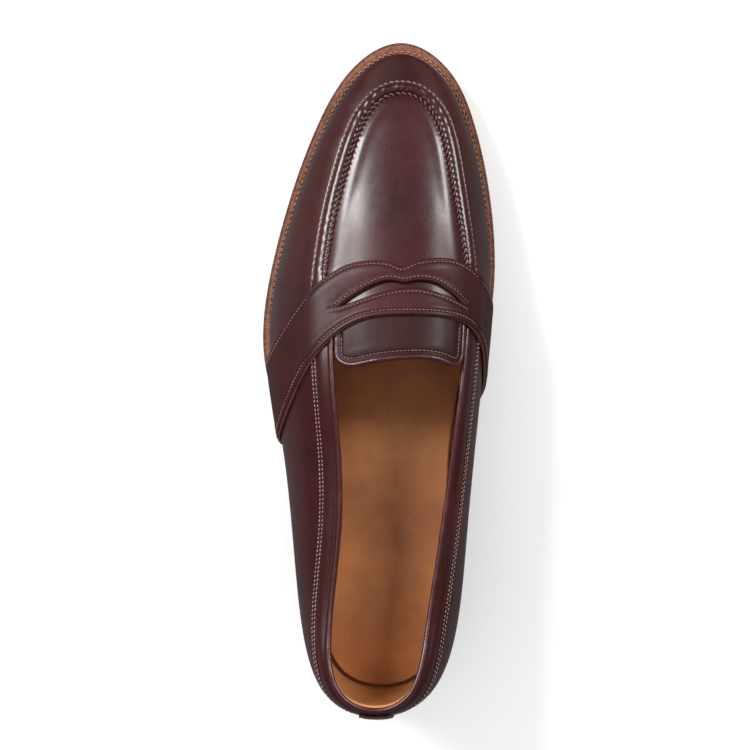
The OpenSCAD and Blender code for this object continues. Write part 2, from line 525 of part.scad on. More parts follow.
// The rolled binding round the free edge of the tongue.
tongue_roll = 1.3;  // radius of the tongue's binding
topline_roll = 1.1; // radius of the topline's binding
roll_gap = 0.2;     // from the topline's edge to its binding
tongue_gap = 0.35;  // from the tongue's edge to its binding
tongue_roll_e = -1.2;  // e of the middle of the tongue's binding, from the tongue's surface
topline_roll_e = -1.6; // e of the middle of the topline's binding
binding_start = 3; // from the strap's edge to the ends of the tongue's binding
function tongue_path(out, e) = let (n = 30, edge = [for (i = [0:n]) let (w = tongue_w(i / n))
    at(w, tongue_edge(w), e)], l = at(TONGUE_W[0], strap_rear(TONGUE_W[0]) - binding_start, e),
    r = at(TONGUE_W[1], strap_rear(TONGUE_W[1]) - binding_start, e), all = concat([l], edge, [r]))
    [for (i = [0:n + 2]) let (t = unit(all[min(n + 2, i + 1)] - all[max(0, i - 1)]),
        side = unit(cross(t, [0, 0, 1]))) all[i] + side * out];
module tongue_binding() {
    color("#3c161a") tube(tongue_path(tongue_roll + tongue_gap, tongue_drop + tongue_roll_e),
        tongue_roll);
}

// The rolled binding of the topline, from the outer wing round the heel to the inner wing.
binding_s = 0.94; // how far forward the binding runs, as a part of the quarter
TOP_ENDS = [joint_u(1, 1), joint_u(1, -1)]; // u of the topline's two ends
function topline_path(out, e) = [for (i = [-26:26]) let (u = abs(i) / 26 * binding_s
    * TOP_ENDS[i > 0 ? 1 : 0], v = topline_v(u)) skin(u, v - v_step(u, v, -out), e)];
module topline_binding() {
    color("#3c161a") tube(topline_path(topline_roll + roll_gap - quarter_top, topline_roll_e),
        topline_roll);
}

// ---- Thread ----

thread_out = thread_r + 0.35; // from a surface out to the middle of its stitches
seam_lift = 0.3; // how much higher the stitches of the apron seam stand
seam_thick = 1.3; // how much thicker they are
ridge_row = 0.6; // from the roll's lower edge down to the ridge row
thread_s = 0.092; // where the seam comes out from under the strap, as a part of its length
function seam_path(out, e) = [for (i = [0:110]) let (s = lerp(thread_s, 1 - thread_s, i / 110),
    u = seam_ray(s), v = seam_v(s))
    skin(u, v - v_step(u, v, out), e)];
module apron_seam_thread() {
    color("#a5684e") stitches([seam_path(0, thread_out + seam_lift)], thread_r * seam_thick);
}
module vamp_ridge_thread() {
    color("#a5684e") stitches([seam_path(roll_w + ridge_row, thread_out)]);
}
row_in = 1.5; // from a raw edge to its row of stitches
row_w = 1.9;  // w of the ends of the strap's rows
function w_path(w0, w1, n) = [for (i = [0:n]) lerp(w0, w1, i / n)];
module strap_front_thread() {
    color("#b06a62") stitches([[for (w = w_path(-row_w, row_w, 90))
        at(w, strap_front(w) - row_in, strap_out + thread_out)]]);
}
module strap_slot_thread() {
    span = w_path(SLOT_W[0] + 0.01, SLOT_W[1] - 0.01, 24);
    color("#b06a62") stitches([[for (w = span) at(w, slot_front(w) + row_in, strap_out + thread_out)],
        [for (w = span) at(w, slot_rear(w) - row_in, strap_out + thread_out)]]);
}
module strap_rear_thread() {
    color("#b06a62") stitches([[for (w = w_path(-row_w, row_w, 90))
        at(w, strap_rear(w) + row_in, strap_out + thread_out)]]);
}
topline_row = 7;  // from the topline down to the upper of its two rows
row_end = 0.85;   // how far forward the rows run, as a part of the quarter
row_gap = 1.7;    // between the two rows
function topline_stitches(end, down) = [for (i = [3:40]) let (u = i / 40 * row_end * end,
    v = topline_v(u)) skin(u, v - v_step(u, v, down), thread_out)];
module topline_thread() {
    color("#c3a0a0") stitches([for (end = TOP_ENDS) for (down = [topline_row, topline_row + row_gap])
        topline_stitches(end, down)]);
}
tongue_draw = 0.94; // width of the tongue's row, as a part of the tongue's width
function tongue_row(i, n) = let (mid = (TONGUE_W[0] + TONGUE_W[1]) / 2, w = tongue_w(i / n))
    at(lerp(mid, w, tongue_draw), tongue_edge(w) + row_in, tongue_drop + thread_out + seam_lift);
module tongue_thread() {
    color("#b06a62") stitches([[for (i = [0:40]) tongue_row(i, 40)]]);
}
welt_row = 4.2;          // from the feather line out to the row of the welt
WELT_SPAN = [5.3, 15.9]; // the row stops at the wings of the strap, as u
module welt_thread() {
    color("#c39a7c") stitches([lifted([[for (i = [0:200])
        rim(lerp(WELT_SPAN[0], WELT_SPAN[1], i / 200), -welt_row, 1)]],
        1, stack + thread_out)[0]]);
}

outsole();
welt();
heel_rand();
heel_lift_upper();
heel_lift_middle();
heel_lift_lower();
top_piece_leather();
top_piece_rubber();
heel_nails();
shank();
cork_filler();
insole();
sock_lining();
heel_counter();
toe_puff();
vamp_lining();
apron_lining();
quarter_lining();
vamp();
apron();
quarter_lateral();
quarter_medial();
back_strip();
saddle_strap();
tongue();
tongue_lining();
tongue_binding();
topline_binding();
apron_seam_thread();
vamp_ridge_thread();
strap_front_thread();
strap_slot_thread();
strap_rear_thread();
topline_thread();
tongue_thread();
welt_thread();
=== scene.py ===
"""Visual model of a left penny loafer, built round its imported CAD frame. Lengths are in mm, but
places and sizes on the stage are in metres."""
import math

import bmesh
import bpy
import numpy as np
from mathutils import Matrix, Vector


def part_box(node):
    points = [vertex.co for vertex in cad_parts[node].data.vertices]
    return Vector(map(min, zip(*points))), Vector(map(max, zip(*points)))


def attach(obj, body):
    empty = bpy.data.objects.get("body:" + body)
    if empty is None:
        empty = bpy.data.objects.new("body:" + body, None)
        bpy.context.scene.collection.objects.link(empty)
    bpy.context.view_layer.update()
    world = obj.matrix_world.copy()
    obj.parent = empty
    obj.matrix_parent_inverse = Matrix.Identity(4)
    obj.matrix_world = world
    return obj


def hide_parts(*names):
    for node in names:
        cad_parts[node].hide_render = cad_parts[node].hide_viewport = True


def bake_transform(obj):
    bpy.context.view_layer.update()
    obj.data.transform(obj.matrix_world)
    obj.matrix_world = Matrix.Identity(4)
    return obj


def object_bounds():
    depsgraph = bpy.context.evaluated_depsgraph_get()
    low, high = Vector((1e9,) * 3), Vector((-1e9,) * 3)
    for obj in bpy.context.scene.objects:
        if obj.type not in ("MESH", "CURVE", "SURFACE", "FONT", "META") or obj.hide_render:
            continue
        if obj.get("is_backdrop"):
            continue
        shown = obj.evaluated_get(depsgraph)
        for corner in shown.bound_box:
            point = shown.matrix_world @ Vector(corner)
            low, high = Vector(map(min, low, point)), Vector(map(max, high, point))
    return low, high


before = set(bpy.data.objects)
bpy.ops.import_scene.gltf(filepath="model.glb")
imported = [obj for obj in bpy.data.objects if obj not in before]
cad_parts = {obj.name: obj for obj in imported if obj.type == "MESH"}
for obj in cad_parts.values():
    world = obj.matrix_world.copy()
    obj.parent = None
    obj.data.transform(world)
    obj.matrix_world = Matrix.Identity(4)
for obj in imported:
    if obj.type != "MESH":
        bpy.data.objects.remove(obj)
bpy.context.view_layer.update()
MM = 0.001
rng = np.random.default_rng(7)

# ---- The lines of the shoe, the same as those of the CAD part ----

SOLE_LO, SOLE_HI = [np.array(c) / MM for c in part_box("outsole")]
HEEL_BACK = round(SOLE_LO[1])
SHOE_LENGTH = round(SOLE_HI[1] - SOLE_LO[1] + 0.6)
LENGTH_K = SHOE_LENGTH / 305
TOE_TIP = HEEL_BACK + SHOE_LENGTH
HEEL_FAN = HEEL_BACK + 34 * LENGTH_K
TOE_FAN = TOE_TIP - 45 * LENGTH_K
BREAST = HEEL_BACK + 72
OUTSOLE_T = 5.0
WELT_T = 3.0
INSOLE_T = 3.2
STACK = OUTSOLE_T + WELT_T
GAP = 0.15
LEATHER_T = 1.5
LINING_OUT = -2.8
LINING_IN = -3.7
STRAP_IN = 0.5
STRAP_OUT = 2.1

# x, distance from the heel's back, reveal, undercut, widest height, fullness and topline v.
TOE = 11
LINES = np.array([
    [0, 0, 1, 2.5, 22, 2.6, 1.4], [-24.5, 9, 0.8, 2.5, 21, 2.6, 1.53],
    [-34, 38, -0.8, 2.5, 20, 2.5, 1.62], [-35.8, 80, -4, 3, 19, 2.2, 1.69],
    [-41.2, 115, -3.3, 4, 18, 2, 1.676], [-54.9, 146, 4.8, 4, 16, 2, 1.665],
    [-57.2, 176, 4.7, 3, 13, 2.05, 1.663], [-52, 206, 4.8, 2.5, 12, 2.1, 1.66],
    [-43.4, 236, 5.2, 2.5, 11, 2.2, 1.66], [-32.2, 264, 5.4, 2.5, 10, 2.3, 1.6],
    [-16.3, 291, 5.6, 2.5, 9, 2.4, 1.55], [8.3, 305, 6, 2.5, 9, 2.4, 1.5],
    [31.2, 291, 4.8, 2.5, 9, 2.4, 1.48], [42.3, 266, 3.6, 2.5, 10, 2.5, 1.46],
    [48.7, 238, 3, 2.5, 11, 2.5, 1.46], [51.7, 208, 2.4, 2.5, 12, 2.5, 1.46],
    [50, 178, 1.3, 3.5, 16, 2.6, 1.465], [41.4, 148, -4.6, 6, 20, 2.8, 1.483],
    [33, 115, -9.8, 8, 21, 2.8, 1.52], [33, 80, -6.5, 5, 20, 2.7, 1.56],
    [34, 38, -1.3, 3, 20, 2.6, 1.61], [24.5, 9, 0.8, 2.5, 21, 2.6, 1.53]], float)
# Height of the sole's bottom, x of the last's ridge and its height, at equal steps.
STATIONS = np.array([
    [21, 0, 107], [20.3, 0.5, 84], [16.6, 4.5, 78], [9.6, 8, 75.5], [3.4, 10.4, 77],
    [0.25, 10.9, 66.5], [1.2, 9.4, 51.5], [6.2, 8, 43.5], [14, 7.5, 31]], float)
SEAM = np.array([
    [-25, 183], [-24, 198], [-20.9, 222], [-16.9, 239], [-12.4, 254.5], [-7.2, 268],
    [0.6, 277.5], [9, 279.6], [17.6, 277.6], [25.3, 268.5], [29.7, 256], [33, 238.5], [36, 222],
    [39.2, 203], [41.2, 183]], float)
STRAP_FRONT = np.array([
    152, 153, 154, 155, 156, 157.5, 161.5, 176, 195, 204.3, 204, 205.8, 204, 198, 191,
    183.4, 181.7, 180.2, 179.1, 178.4, 178], float)
STRAP_REAR = np.array([
    116, 116.5, 117, 118, 119.5, 122, 128, 142, 163.3, 178.2, 180.9, 180.6, 178.3,
    172.4, 162.6, 149.4, 145.4, 141.6, 138.4, 136, 134.5], float)
FRONT_DIP = 0.6
REAR_DIP = 1.3
DIP_W = 0.06
NOTCH = 2.6
NOTCH_W = 0.04
SLOT_W = (-0.29, 0.44)
SLOT_NOTCH = 1.3
SLOT_PART = (0.615, 0.735)
SLOT_FADE = 0.12
SLOT_FRONT = np.array(
    [183.9, 189.1, 193.2, 196, 196.4, 196.3, 195.8, 194.2, 191.6, 188.8, 184.9], float)
SLOT_REAR = np.array(
    [183.9, 186.2, 188.8, 191, 192.4, 192.6, 191.6, 190.2, 188.6, 186.8, 184.9], float)


def through_loop(rows):
    return rows - (np.roll(rows, 1, 0) - 2 * rows + np.roll(rows, -1, 0)) / 6


def through_line(rows):
    body = rows.copy()
    body[1:-1] -= (rows[:-2] - 2 * rows[1:-1] + rows[2:]) / 6
    first = 2 * body[0] - body[1]
    last = 2 * body[-1] - body[-2]
    return np.concatenate([[first], body, [last]])


def spline(a, b, c, d, t):
    if a.ndim > t.ndim:
        t = t[..., None]
    return (a * (1 - t) ** 3 + b * (3 * t ** 3 - 6 * t ** 2 + 4)
            + c * (-3 * t ** 3 + 3 * t ** 2 + 3 * t + 1) + d * t ** 3) / 6


def on_line(ctrl, t):
    last = len(ctrl) - 3
    s = np.clip(np.asarray(t, float) * last, 0, last - 1e-6)
    i = np.floor(s).astype(int)
    return spline(ctrl[i], ctrl[i + 1], ctrl[i + 2], ctrl[i + 3], s - i)


LOOP = through_loop(LINES)
LOOP_N = len(LINES)
STATION_LINE = through_line(STATIONS)
SEAM_LINE = through_line(SEAM)
FRONT_LINE = through_line(STRAP_FRONT)
REAR_LINE = through_line(STRAP_REAR)
SLOT_FRONT_LINE = through_line(SLOT_FRONT)
SLOT_REAR_LINE = through_line(SLOT_REAR)


def round_at(u):
    u = np.asarray(u, float)
    i = np.floor(u).astype(int)
    n = LOOP_N
    r = spline(LOOP[(i - 1) % n], LOOP[i % n], LOOP[(i + 1) % n], LOOP[(i + 2) % n], u - i)
    r[..., 1] = HEEL_BACK + r[..., 1] * LENGTH_K
    return r


def along_at(y):
    return on_line(STATION_LINE, (np.asarray(y, float) - HEEL_BACK) / SHOE_LENGTH)


def sole_z(y):
    return along_at(y)[..., 0]


def feather_z(y):
    return sole_z(y) + STACK + GAP


def hub(y):
    c = np.clip(y, HEEL_FAN, TOE_FAN)
    return np.stack([along_at(c)[..., 1], c], -1)


OUTER_U = np.linspace(0.0, TOE, 6000)
INNER_U = np.linspace(LOOP_N, TOE, 6000)
OUTER_Y = round_at(OUTER_U)[:, 1]
INNER_Y = round_at(INNER_U)[:, 1]


def side_u(y, side):
    """u where the sole's edge is level with y; side is -1 for the outer, 1 for the inner side."""
    outer = np.interp(y, OUTER_Y, OUTER_U)
    inner = np.interp(y, INNER_Y, INNER_U)
    return np.where(np.asarray(side) < 0, outer, inner)


def fan_tables():
    u = np.linspace(side_u(TOE_FAN, -1), side_u(TOE_FAN, 1), 4000)
    r = round_at(u)
    c = hub(TOE_TIP)
    return np.arctan2(r[:, 0] - c[0], r[:, 1] - c[1]), u


FAN_ANGLE, FAN_U = fan_tables()


def ray_of(x, y):
    c = hub(TOE_TIP)
    turned = np.interp(np.arctan2(x - c[0], y - c[1]), FAN_ANGLE, FAN_U)
    straight = side_u(y, np.where(x < along_at(y)[..., 1], -1, 1))
    return np.where(y > TOE_FAN, turned, straight)


def skin(u, v, e):
    """A point of the upper: v is 0 at the feather line, 1 at the widest line and 2 on the ridge,
    and e is the distance out from the outer surface."""
    u, v, e = np.broadcast_arrays(np.asarray(u, float), v, e)
    r = round_at(u)
    c = hub(r[..., 1])
    out = r[..., :2] - c
    far = np.linalg.norm(out, axis=-1)
    way = out / np.maximum(far, 1e-9)[..., None]
    reach = far - r[..., 2] + e
    quarter = np.pi / 2
    wall = np.clip(v, 0, 1) * quarter
    p = c + way * (reach - r[..., 3] * (1 - np.sin(wall)))[..., None]
    z_wall = feather_z(p[..., 1]) + r[..., 4] * (1 - np.cos(wall))
    a = np.clip(v - 1, 0, 1) * quarter
    q = c + way * (reach * np.maximum(np.cos(a), 0) ** (2 / r[..., 5]))[..., None]
    low = feather_z(q[..., 1]) + r[..., 4]
    z_top = low + (along_at(q[..., 1])[..., 2] + e - low) * np.sin(a) ** (2 / r[..., 5])
    up = v > 1
    plan = np.where(up[..., None], q, p)
    return np.concatenate([plan, np.where(up, z_top, z_wall)[..., None]], -1)


def v_at(x, y, u, e):
    r = round_at(u)
    reach = np.linalg.norm(r[..., :2] - hub(r[..., 1]), axis=-1) - r[..., 2] + e
    c = hub(y)
    k = np.minimum(1, np.hypot(x - c[..., 0], y - c[..., 1]) / reach)
    return 1 + np.arccos(k ** (r[..., 5] / 2)) / (np.pi / 2)


def on_top(x, y, e):
    u = ray_of(x, y)
    z = skin(u, v_at(x, y, u, e), e)[..., 2]
    return np.stack([x, y, z], -1)


def at(w, y, e):
    """The same surface by w, from -2 at the outer to 2 at the inner feather line, and by y."""
    w, y, e = np.broadcast_arrays(np.asarray(w, float), y, e)
    return skin(side_u(y, np.where(w < 0, -1, 1)), 2 - np.abs(w), e)


def v_step(u, v, down):
    """The step in v that moves a point down the surface by a distance."""
    return down * 0.02 / np.linalg.norm(skin(u, v, 0.0) - skin(u, v - 0.02, 0.0), axis=-1)


def seam(s):
    p = on_line(SEAM_LINE, s)
    p[..., 1] = HEEL_BACK + p[..., 1] * LENGTH_K
    return p


def strap_edge(line, w, dip, notch=0.0):
    """y of an edge of the strap. A dip keeps its slope even over the widest line of the inner
    side, and a notch lies on the ridge."""
    w = np.asarray(w, float)
    dip = dip * np.exp(-np.abs(w - 1) / DIP_W)
    notch = notch * np.exp(-np.abs(w / NOTCH_W) ** 1.5)
    return HEEL_BACK + LENGTH_K * (on_line(line, (w + 2) / 4) - dip - notch)


def strap_front(w):
    return strap_edge(FRONT_LINE, w, FRONT_DIP, NOTCH)


def strap_rear(w):
    return strap_edge(REAR_LINE, w, REAR_DIP)


def slot_edges(w):
    """The front and rear edge of the slot; beyond its ends both are one line."""
    w = np.asarray(w, float)
    t = np.clip((w - SLOT_W[0]) / (SLOT_W[1] - SLOT_W[0]), 0, 1)
    front = HEEL_BACK + LENGTH_K * on_line(SLOT_FRONT_LINE, t)
    rear = HEEL_BACK + LENGTH_K * on_line(SLOT_REAR_LINE, t)
    front = front - SLOT_NOTCH * np.exp(-np.abs((w - 0.01) / 0.035) ** 1.5)
    rear = np.minimum(rear, front - 0.1 * np.sin(np.pi * t))
    part = np.where(w < 0, *SLOT_PART)
    line = strap_front(w) + (strap_rear(w) - strap_front(w)) * part
    inside = (w > SLOT_W[0]) & (w < SLOT_W[1])
    fade = np.clip(np.minimum(np.abs(w - SLOT_W[0]), np.abs(w - SLOT_W[1])) / SLOT_FADE, 0, 1)
    beyond = front + (line - front) * fade
    return np.where(inside, front, beyond), np.where(inside, rear, beyond)


# ---- Meshes ----

def smooth(a, lo, hi):
    t = np.clip((a - lo) / (hi - lo), 0, 1)
    return t * t * (3 - 2 * t)


def bell(d, width):
    return np.exp(-(d / width) ** 2)


def link(name, data):
    made = bpy.data.objects.new(name, data)
    bpy.context.scene.collection.objects.link(made)
    return made


def make_object(name, verts, faces, kinds=None, crease=None, sharp=50):
    """A piece from points in mm and faces; kinds are material indices, crease is a value for
    each point that its material reads: painted shade on the upper and welt pieces, the distance in
    from the rim on plates."""
    mesh = bpy.data.meshes.new(name)
    mesh.from_pydata((np.asarray(verts) * MM).tolist(), [], [list(map(int, f)) for f in faces])
    if kinds is not None:
        mesh.polygons.foreach_set("material_index", np.asarray(kinds, np.int32))
    if crease is not None:
        layer = mesh.attributes.new("crease", "FLOAT", "POINT")
        layer.data.foreach_set("value", np.asarray(crease, np.float32))
    bm = bmesh.new()
    bm.from_mesh(mesh)
    bmesh.ops.remove_doubles(bm, verts=bm.verts, dist=1e-7)
    bmesh.ops.recalc_face_normals(bm, faces=bm.faces)
    bm.to_mesh(mesh)
    bm.free()
    mesh.polygons.foreach_set("use_smooth", np.ones(len(mesh.polygons), bool))
    mesh.set_sharp_from_angle(angle=math.radians(sharp))
    return link(name, mesh)


def sheet(name, top, low, holes=None, crease=None):
    """Closes the solid between two grids of points. Its top has material 0, the rest 1."""
    n, m = top.shape[:2]
    count = n * m
    here = np.ones((n - 1, m - 1), bool)
    if holes is not None:
        here &= ~holes
    i, j = np.nonzero(here)
    a, b, c, d = i * m + j, i * m + j + 1, (i + 1) * m + j + 1, (i + 1) * m + j
    tops = np.stack([a, b, c, d], 1)
    faces = [tops, np.stack([a, d, c, b], 1) + count]
    for di, dj in ((0, 1), (1, 0)):
        cells = np.zeros((n - di, m - dj), int)
        cells[:n - 1, :m - 1] += here
        cells[dj:, di:] += here
        i, j = np.nonzero(cells == 1)
        p = i * m + j
        q = p + di * m + dj
        faces.append(np.stack([p, q, q + count, p + count], 1))
    faces = np.concatenate(faces)
    kinds = np.arange(len(faces)) >= len(tops)
    verts = np.concatenate([top.reshape(-1, 3), low.reshape(-1, 3)])
    crease = None if crease is None else np.tile(crease.ravel(), 2)
    return make_object(name, verts, faces, kinds, crease)


def unit(a):
    return a / np.maximum(np.linalg.norm(a, axis=-1, keepdims=True), 1e-12)


def lengths(path):
    step = np.linalg.norm(np.diff(path, axis=0), axis=1)
    return np.concatenate([[0], np.cumsum(step)])


def sample(path, table, s):
    return np.stack([np.interp(s, table, path[:, k]) for k in range(path.shape[1])], -1)


def even(path, up, n):
    """The same path and directions at n equal steps, and how far along each of them is."""
    table = lengths(path)
    s = np.linspace(0, table[-1], n)
    return sample(path, table, s), unit(sample(up, table, s)), s


def nearest(points, path):
    """The distance of each point to the nearest point of a path, and that one's index."""
    near = np.full(points.shape[:-1], np.inf)
    index = np.zeros(points.shape[:-1], int)
    for k, q in enumerate(path):
        far = np.linalg.norm(points - q, axis=-1)
        index = np.where(far < near, k, index)
        near = np.minimum(near, far)
    return near, index


def ring_points(centre, side, up, radius, sides):
    """Rings of points round centres, each in the plane of its side and up."""
    a = np.arange(sides)[:, None] * 2 * np.pi / sides
    ring = side[..., None, :] * np.cos(a) + up[..., None, :] * np.sin(a)
    return (centre[..., None, :] + ring * radius[..., None, None]).reshape(-1, 3)


def ring_faces(count, rings, sides):
    """Faces of many tubes, each of so many rings, with closed ends."""
    k = np.arange(sides)
    after = (k + 1) % sides
    start = np.arange(count)[:, None, None] * rings * sides
    ring = start + np.arange(rings - 1)[:, None] * sides
    quads = np.stack([ring + k, ring + after, ring + after + sides, ring + k + sides], -1)
    first = start[:, 0] + k[::-1]
    final = start[:, 0] + (rings - 1) * sides + k
    return quads.reshape(-1, 4).tolist() + first.tolist() + final.tolist()


TUBE_SIDES = 14
STITCH_SIDES = 7
STITCH_RINGS = 9


def tube(name, path, normals, radius):
    """A round cord along a path."""
    tangent = unit(np.gradient(path, axis=0))
    side = unit(np.cross(tangent, normals))
    points = ring_points(path, side, np.cross(side, tangent), radius, TUBE_SIDES)
    return make_object(name, points, ring_faces(1, len(path), TUBE_SIDES), sharp=60)


def stitches(name, rows, pitch, radius, fill, slant=0.0, rise=0.25, sink=0.45, uneven=1.0):
    """Rows of stitches. Each arches over a share of the way from hole to hole, given by fill, and
    is turned by slant across its row."""
    t = np.linspace(0, 1, STITCH_RINGS)
    arch = np.sin(np.pi * t) ** 0.5 * (rise + sink) - sink
    centres, ups = [], []
    for path, normals in rows:
        table = lengths(path)
        count = max(1, int(round(table[-1] / pitch)))
        step = table[-1] / count
        start = (np.arange(count) + (1 - fill) / 2) * step
        jitter = rng.normal(0, 0.03 * uneven, count) * step
        s = start[:, None] + jitter[:, None] + t * fill * step
        p = sample(path, table, s)
        up = unit(sample(normals, table, s))
        side = unit(np.cross(unit(np.gradient(p, axis=1)), up))
        height = arch * (1 + rng.normal(0, 0.06 * uneven, count))[:, None]
        turn = slant * (t - 0.5) * (1 + rng.normal(0, 0.15 * uneven, count))[:, None]
        centres.append(p + up * height[..., None] + side * turn[..., None])
        ups.append(up)
    centre = np.concatenate(centres)
    along = unit(np.gradient(centre, axis=1))
    side = unit(np.cross(along, np.concatenate(ups)))
    thick = radius * (0.62 + 0.38 * np.sin(np.pi * t) ** 0.6)
    points = ring_points(centre, side, np.cross(side, along), thick, STITCH_SIDES)
    faces = ring_faces(len(centre), STITCH_RINGS, STITCH_SIDES)
    return make_object(name, points, faces, sharp=70)


def outward(u, v, e):
    """The direction out of the upper's surface at u and v."""
    return unit(skin(u, v, e + 0.5) - skin(u, v, e - 0.5))


def pair(w, y, e):
    """A path on the surface by w and y, with the directions out of it."""
    return at(w, y, e), unit(at(w, y, e + 0.5) - at(w, y, e - 0.5))


# ---- Upper ----

SEAM_PITCH = 2.75
RIDGE_PITCH = 2.6
ROLL_W = 5.8
ROLL_H = 1.25
RIDGE_ROW = 6.4
MOST_CREASE = 1.2
RIDGE_X = 11
STRAP_END_OUTER = 162.0
STRAP_END_INNER = 165.0
GATHER_PITCH = 4.6
GATHER_H = 0.42
SEAM_DEPTH = 0.75
APRON_DEPTH = 0.8
RIDGE_DEPTH = 0.34


def seam_table():
    p = seam(np.linspace(0, 1, 3000))
    u = ray_of(p[:, 0], p[:, 1])
    v = v_at(p[:, 0], p[:, 1], u, 0.0)
    return u, v, lengths(skin(u, v, 0.0)), p


SEAM_U, SEAM_V, SEAM_L, SEAM_P = seam_table()
SEAM_STEP = v_step(SEAM_U, SEAM_V, 1.0)
SEAM_TOTAL = SEAM_L[-1]


def seam_at(length):
    """u, v and the step in v of a millimetre, at a length along the apron seam."""
    return tuple(np.interp(length, SEAM_L, a) for a in (SEAM_U, SEAM_V, SEAM_STEP))


def clear_of_strap(x, y):
    """0 under the saddle strap and 1 well in front of it."""
    edge = np.where(x < RIDGE_X, STRAP_END_OUTER, STRAP_END_INNER)
    return smooth(y, edge - 4, edge + 4)


JOINT_GAP = 0.4


def joint_y(w):
    """y of the joint of vamp and quarters, which the strap covers."""
    return strap_rear(w) + (strap_front(w) - strap_rear(w)) * 0.4


def pucker(length, y):
    """Uneven gathers along the roll, deepest round the toe."""
    wave = np.zeros_like(length)
    for k in range(int(SEAM_TOTAL / 4.2) + 1):
        middle = k * GATHER_PITCH + rng.normal(0, 0.5)
        wave += rng.uniform(0.5, 1.2) * bell(length - middle, 1.5)
    return wave * (0.18 + 0.82 * smooth(y, 222, 238))


def vamp_u(length, v):
    """u of the vamp's rows, drawn to the joint with the quarters towards its ends."""
    s = (length / SEAM_TOTAL)[:, None]
    side = np.where(s < 0.5, -1, 1)
    fade = np.maximum(0, 1 - np.minimum(s, 1 - s) / 0.3) ** 2
    ends = np.where(side < 0, side_u(SEAM_P[0, 1], -1), side_u(SEAM_P[-1, 1], 1))
    joint = side_u(joint_y(side * (2 - v)) + JOINT_GAP, side)
    return seam_at(length)[0][:, None] + fade * (joint - ends)


def build_vamp():
    length = np.linspace(0, SEAM_TOTAL, 900)
    _, vs, step = seam_at(length)
    d_top = np.concatenate([np.linspace(0.15, 6.0, 26), [6.15, 6.3, 6.45, 6.6, 6.8, 7.1, 7.6,
                                                          8.4, 9.5, 11.5]])
    v_top = vs[:, None] - step[:, None] * d_top[None]
    wall = np.linspace(1, 0, 34)[1:]
    v = np.concatenate([v_top, v_top[:, -1:] * wall[None]], 1)[:, ::-1]
    d = (vs[:, None] - v) / step[:, None]
    u = vamp_u(length, v)
    p = skin(u, v, 0.0)
    free = clear_of_strap(p[..., 0], p[..., 1])
    gather = pucker(length, p[:, -1, 1])[:, None]
    hump = np.clip(np.sin(np.pi * np.clip((d - 0.3) / ROLL_W, 0, 1)), 0, 1) ** 0.7
    e = ROLL_H * hump * (0.35 + 0.65 * free)
    e = e + GATHER_H * gather * hump ** 1.5 * free * smooth(ROLL_W - d, 0, 2.5)
    phase = np.cos(2 * np.pi * length / SEAM_PITCH)[:, None]
    e = e - SEAM_DEPTH * bell(d, 0.55) * (1 + 0.2 * phase)
    e = e - 0.09 * phase * bell(d - 0.9, 0.7) * free
    row = np.cos(2 * np.pi * length / RIDGE_PITCH)[:, None]
    e = e - (RIDGE_DEPTH + 0.12 * row) * bell(d - RIDGE_ROW, 0.45) * (0.3 + 0.7 * free)
    top = skin(u, v, e)
    low = skin(u, v, -LEATHER_T + 0.3 * np.minimum(e, 0))
    # Painted shade: the crease value darkens the seam's groove, the stitch holes and the ridge
    # row's groove.
    crease = bell(d - 0.1, 0.7) + 0.2 * (1 + phase) * bell(d - 0.8, 0.5)
    crease = crease + (0.7 + 0.3 * row) * bell(d - RIDGE_ROW, 0.55)
    return sheet("vamp_leather", top, low, crease=np.minimum(crease, MOST_CREASE))


def apron_grid(n, m):
    """A grid over the apron. Rows span it from side to side; the last one follows the seam."""
    s = 0.497 * np.sin(np.linspace(0, np.pi / 2, n))
    left, right = seam(s), seam(1 - s)
    t = (1 - np.cos(np.linspace(0, np.pi, m))) / 2
    flat = left[:, None] + (right - left)[:, None] * t[None, :, None]
    last = seam(s[-1] + (1 - 2 * s[-1]) * t)
    curve = smooth(s / s[-1], 0.985, 1.0)[:, None, None]
    return flat * (1 - curve) + last[None] * curve


def build_apron():
    plan = apron_grid(330, 130)
    near, index = nearest(plan, SEAM_P[::6])
    free = clear_of_strap(plan[..., 0], plan[..., 1])
    phase = np.cos(2 * np.pi * SEAM_L[::6][index] / SEAM_PITCH)
    e = -APRON_DEPTH * bell(near, 0.7) * (1 + 0.2 * phase) + 0.35 * bell(near - 3.4, 2.6) * free
    e = e - 0.13 * phase * bell(near - 0.9, 0.7) * free
    base = on_top(plan[..., 0], plan[..., 1], 0.0)
    lift = on_top(plan[..., 0], plan[..., 1], 0.5)
    up = unit(lift - base + np.array([0, 0, 1e-6]))
    top = base + up * e[..., None]
    low = base - up * LEATHER_T
    # Painted shade: the crease value darkens the seam's groove and the stitch holes along it.
    crease = bell(near, 0.7) + 0.25 * (1 + phase) * bell(near - 0.8, 0.5)
    return sheet("apron_leather", top, low, crease=np.minimum(crease, MOST_CREASE))


def cosines(edge, w):
    """How much a step in y shortens when measured square to an edge line."""
    p = at(w, edge(w), STRAP_OUT)
    run = np.linalg.norm(np.gradient(p, w, axis=0)[:, [0, 2]], axis=1)
    slope = np.gradient(edge(w), w)
    return run / np.hypot(run, slope)


EDGE_STEPS = np.array([0, 0.05, 0.14, 0.28, 0.5, 0.8, 1.1, 1.3, 1.5, 1.7, 1.95, 2.3, 2.8, 3.4])
ROW_IN = 1.5
REAR_ROW_IN = 2.0
GROOVE_DEPTH = 0.3
LIP_RISE = 0.75
LIP_SINK = 0.25
STRAP_W = 1.97
FAR = 99


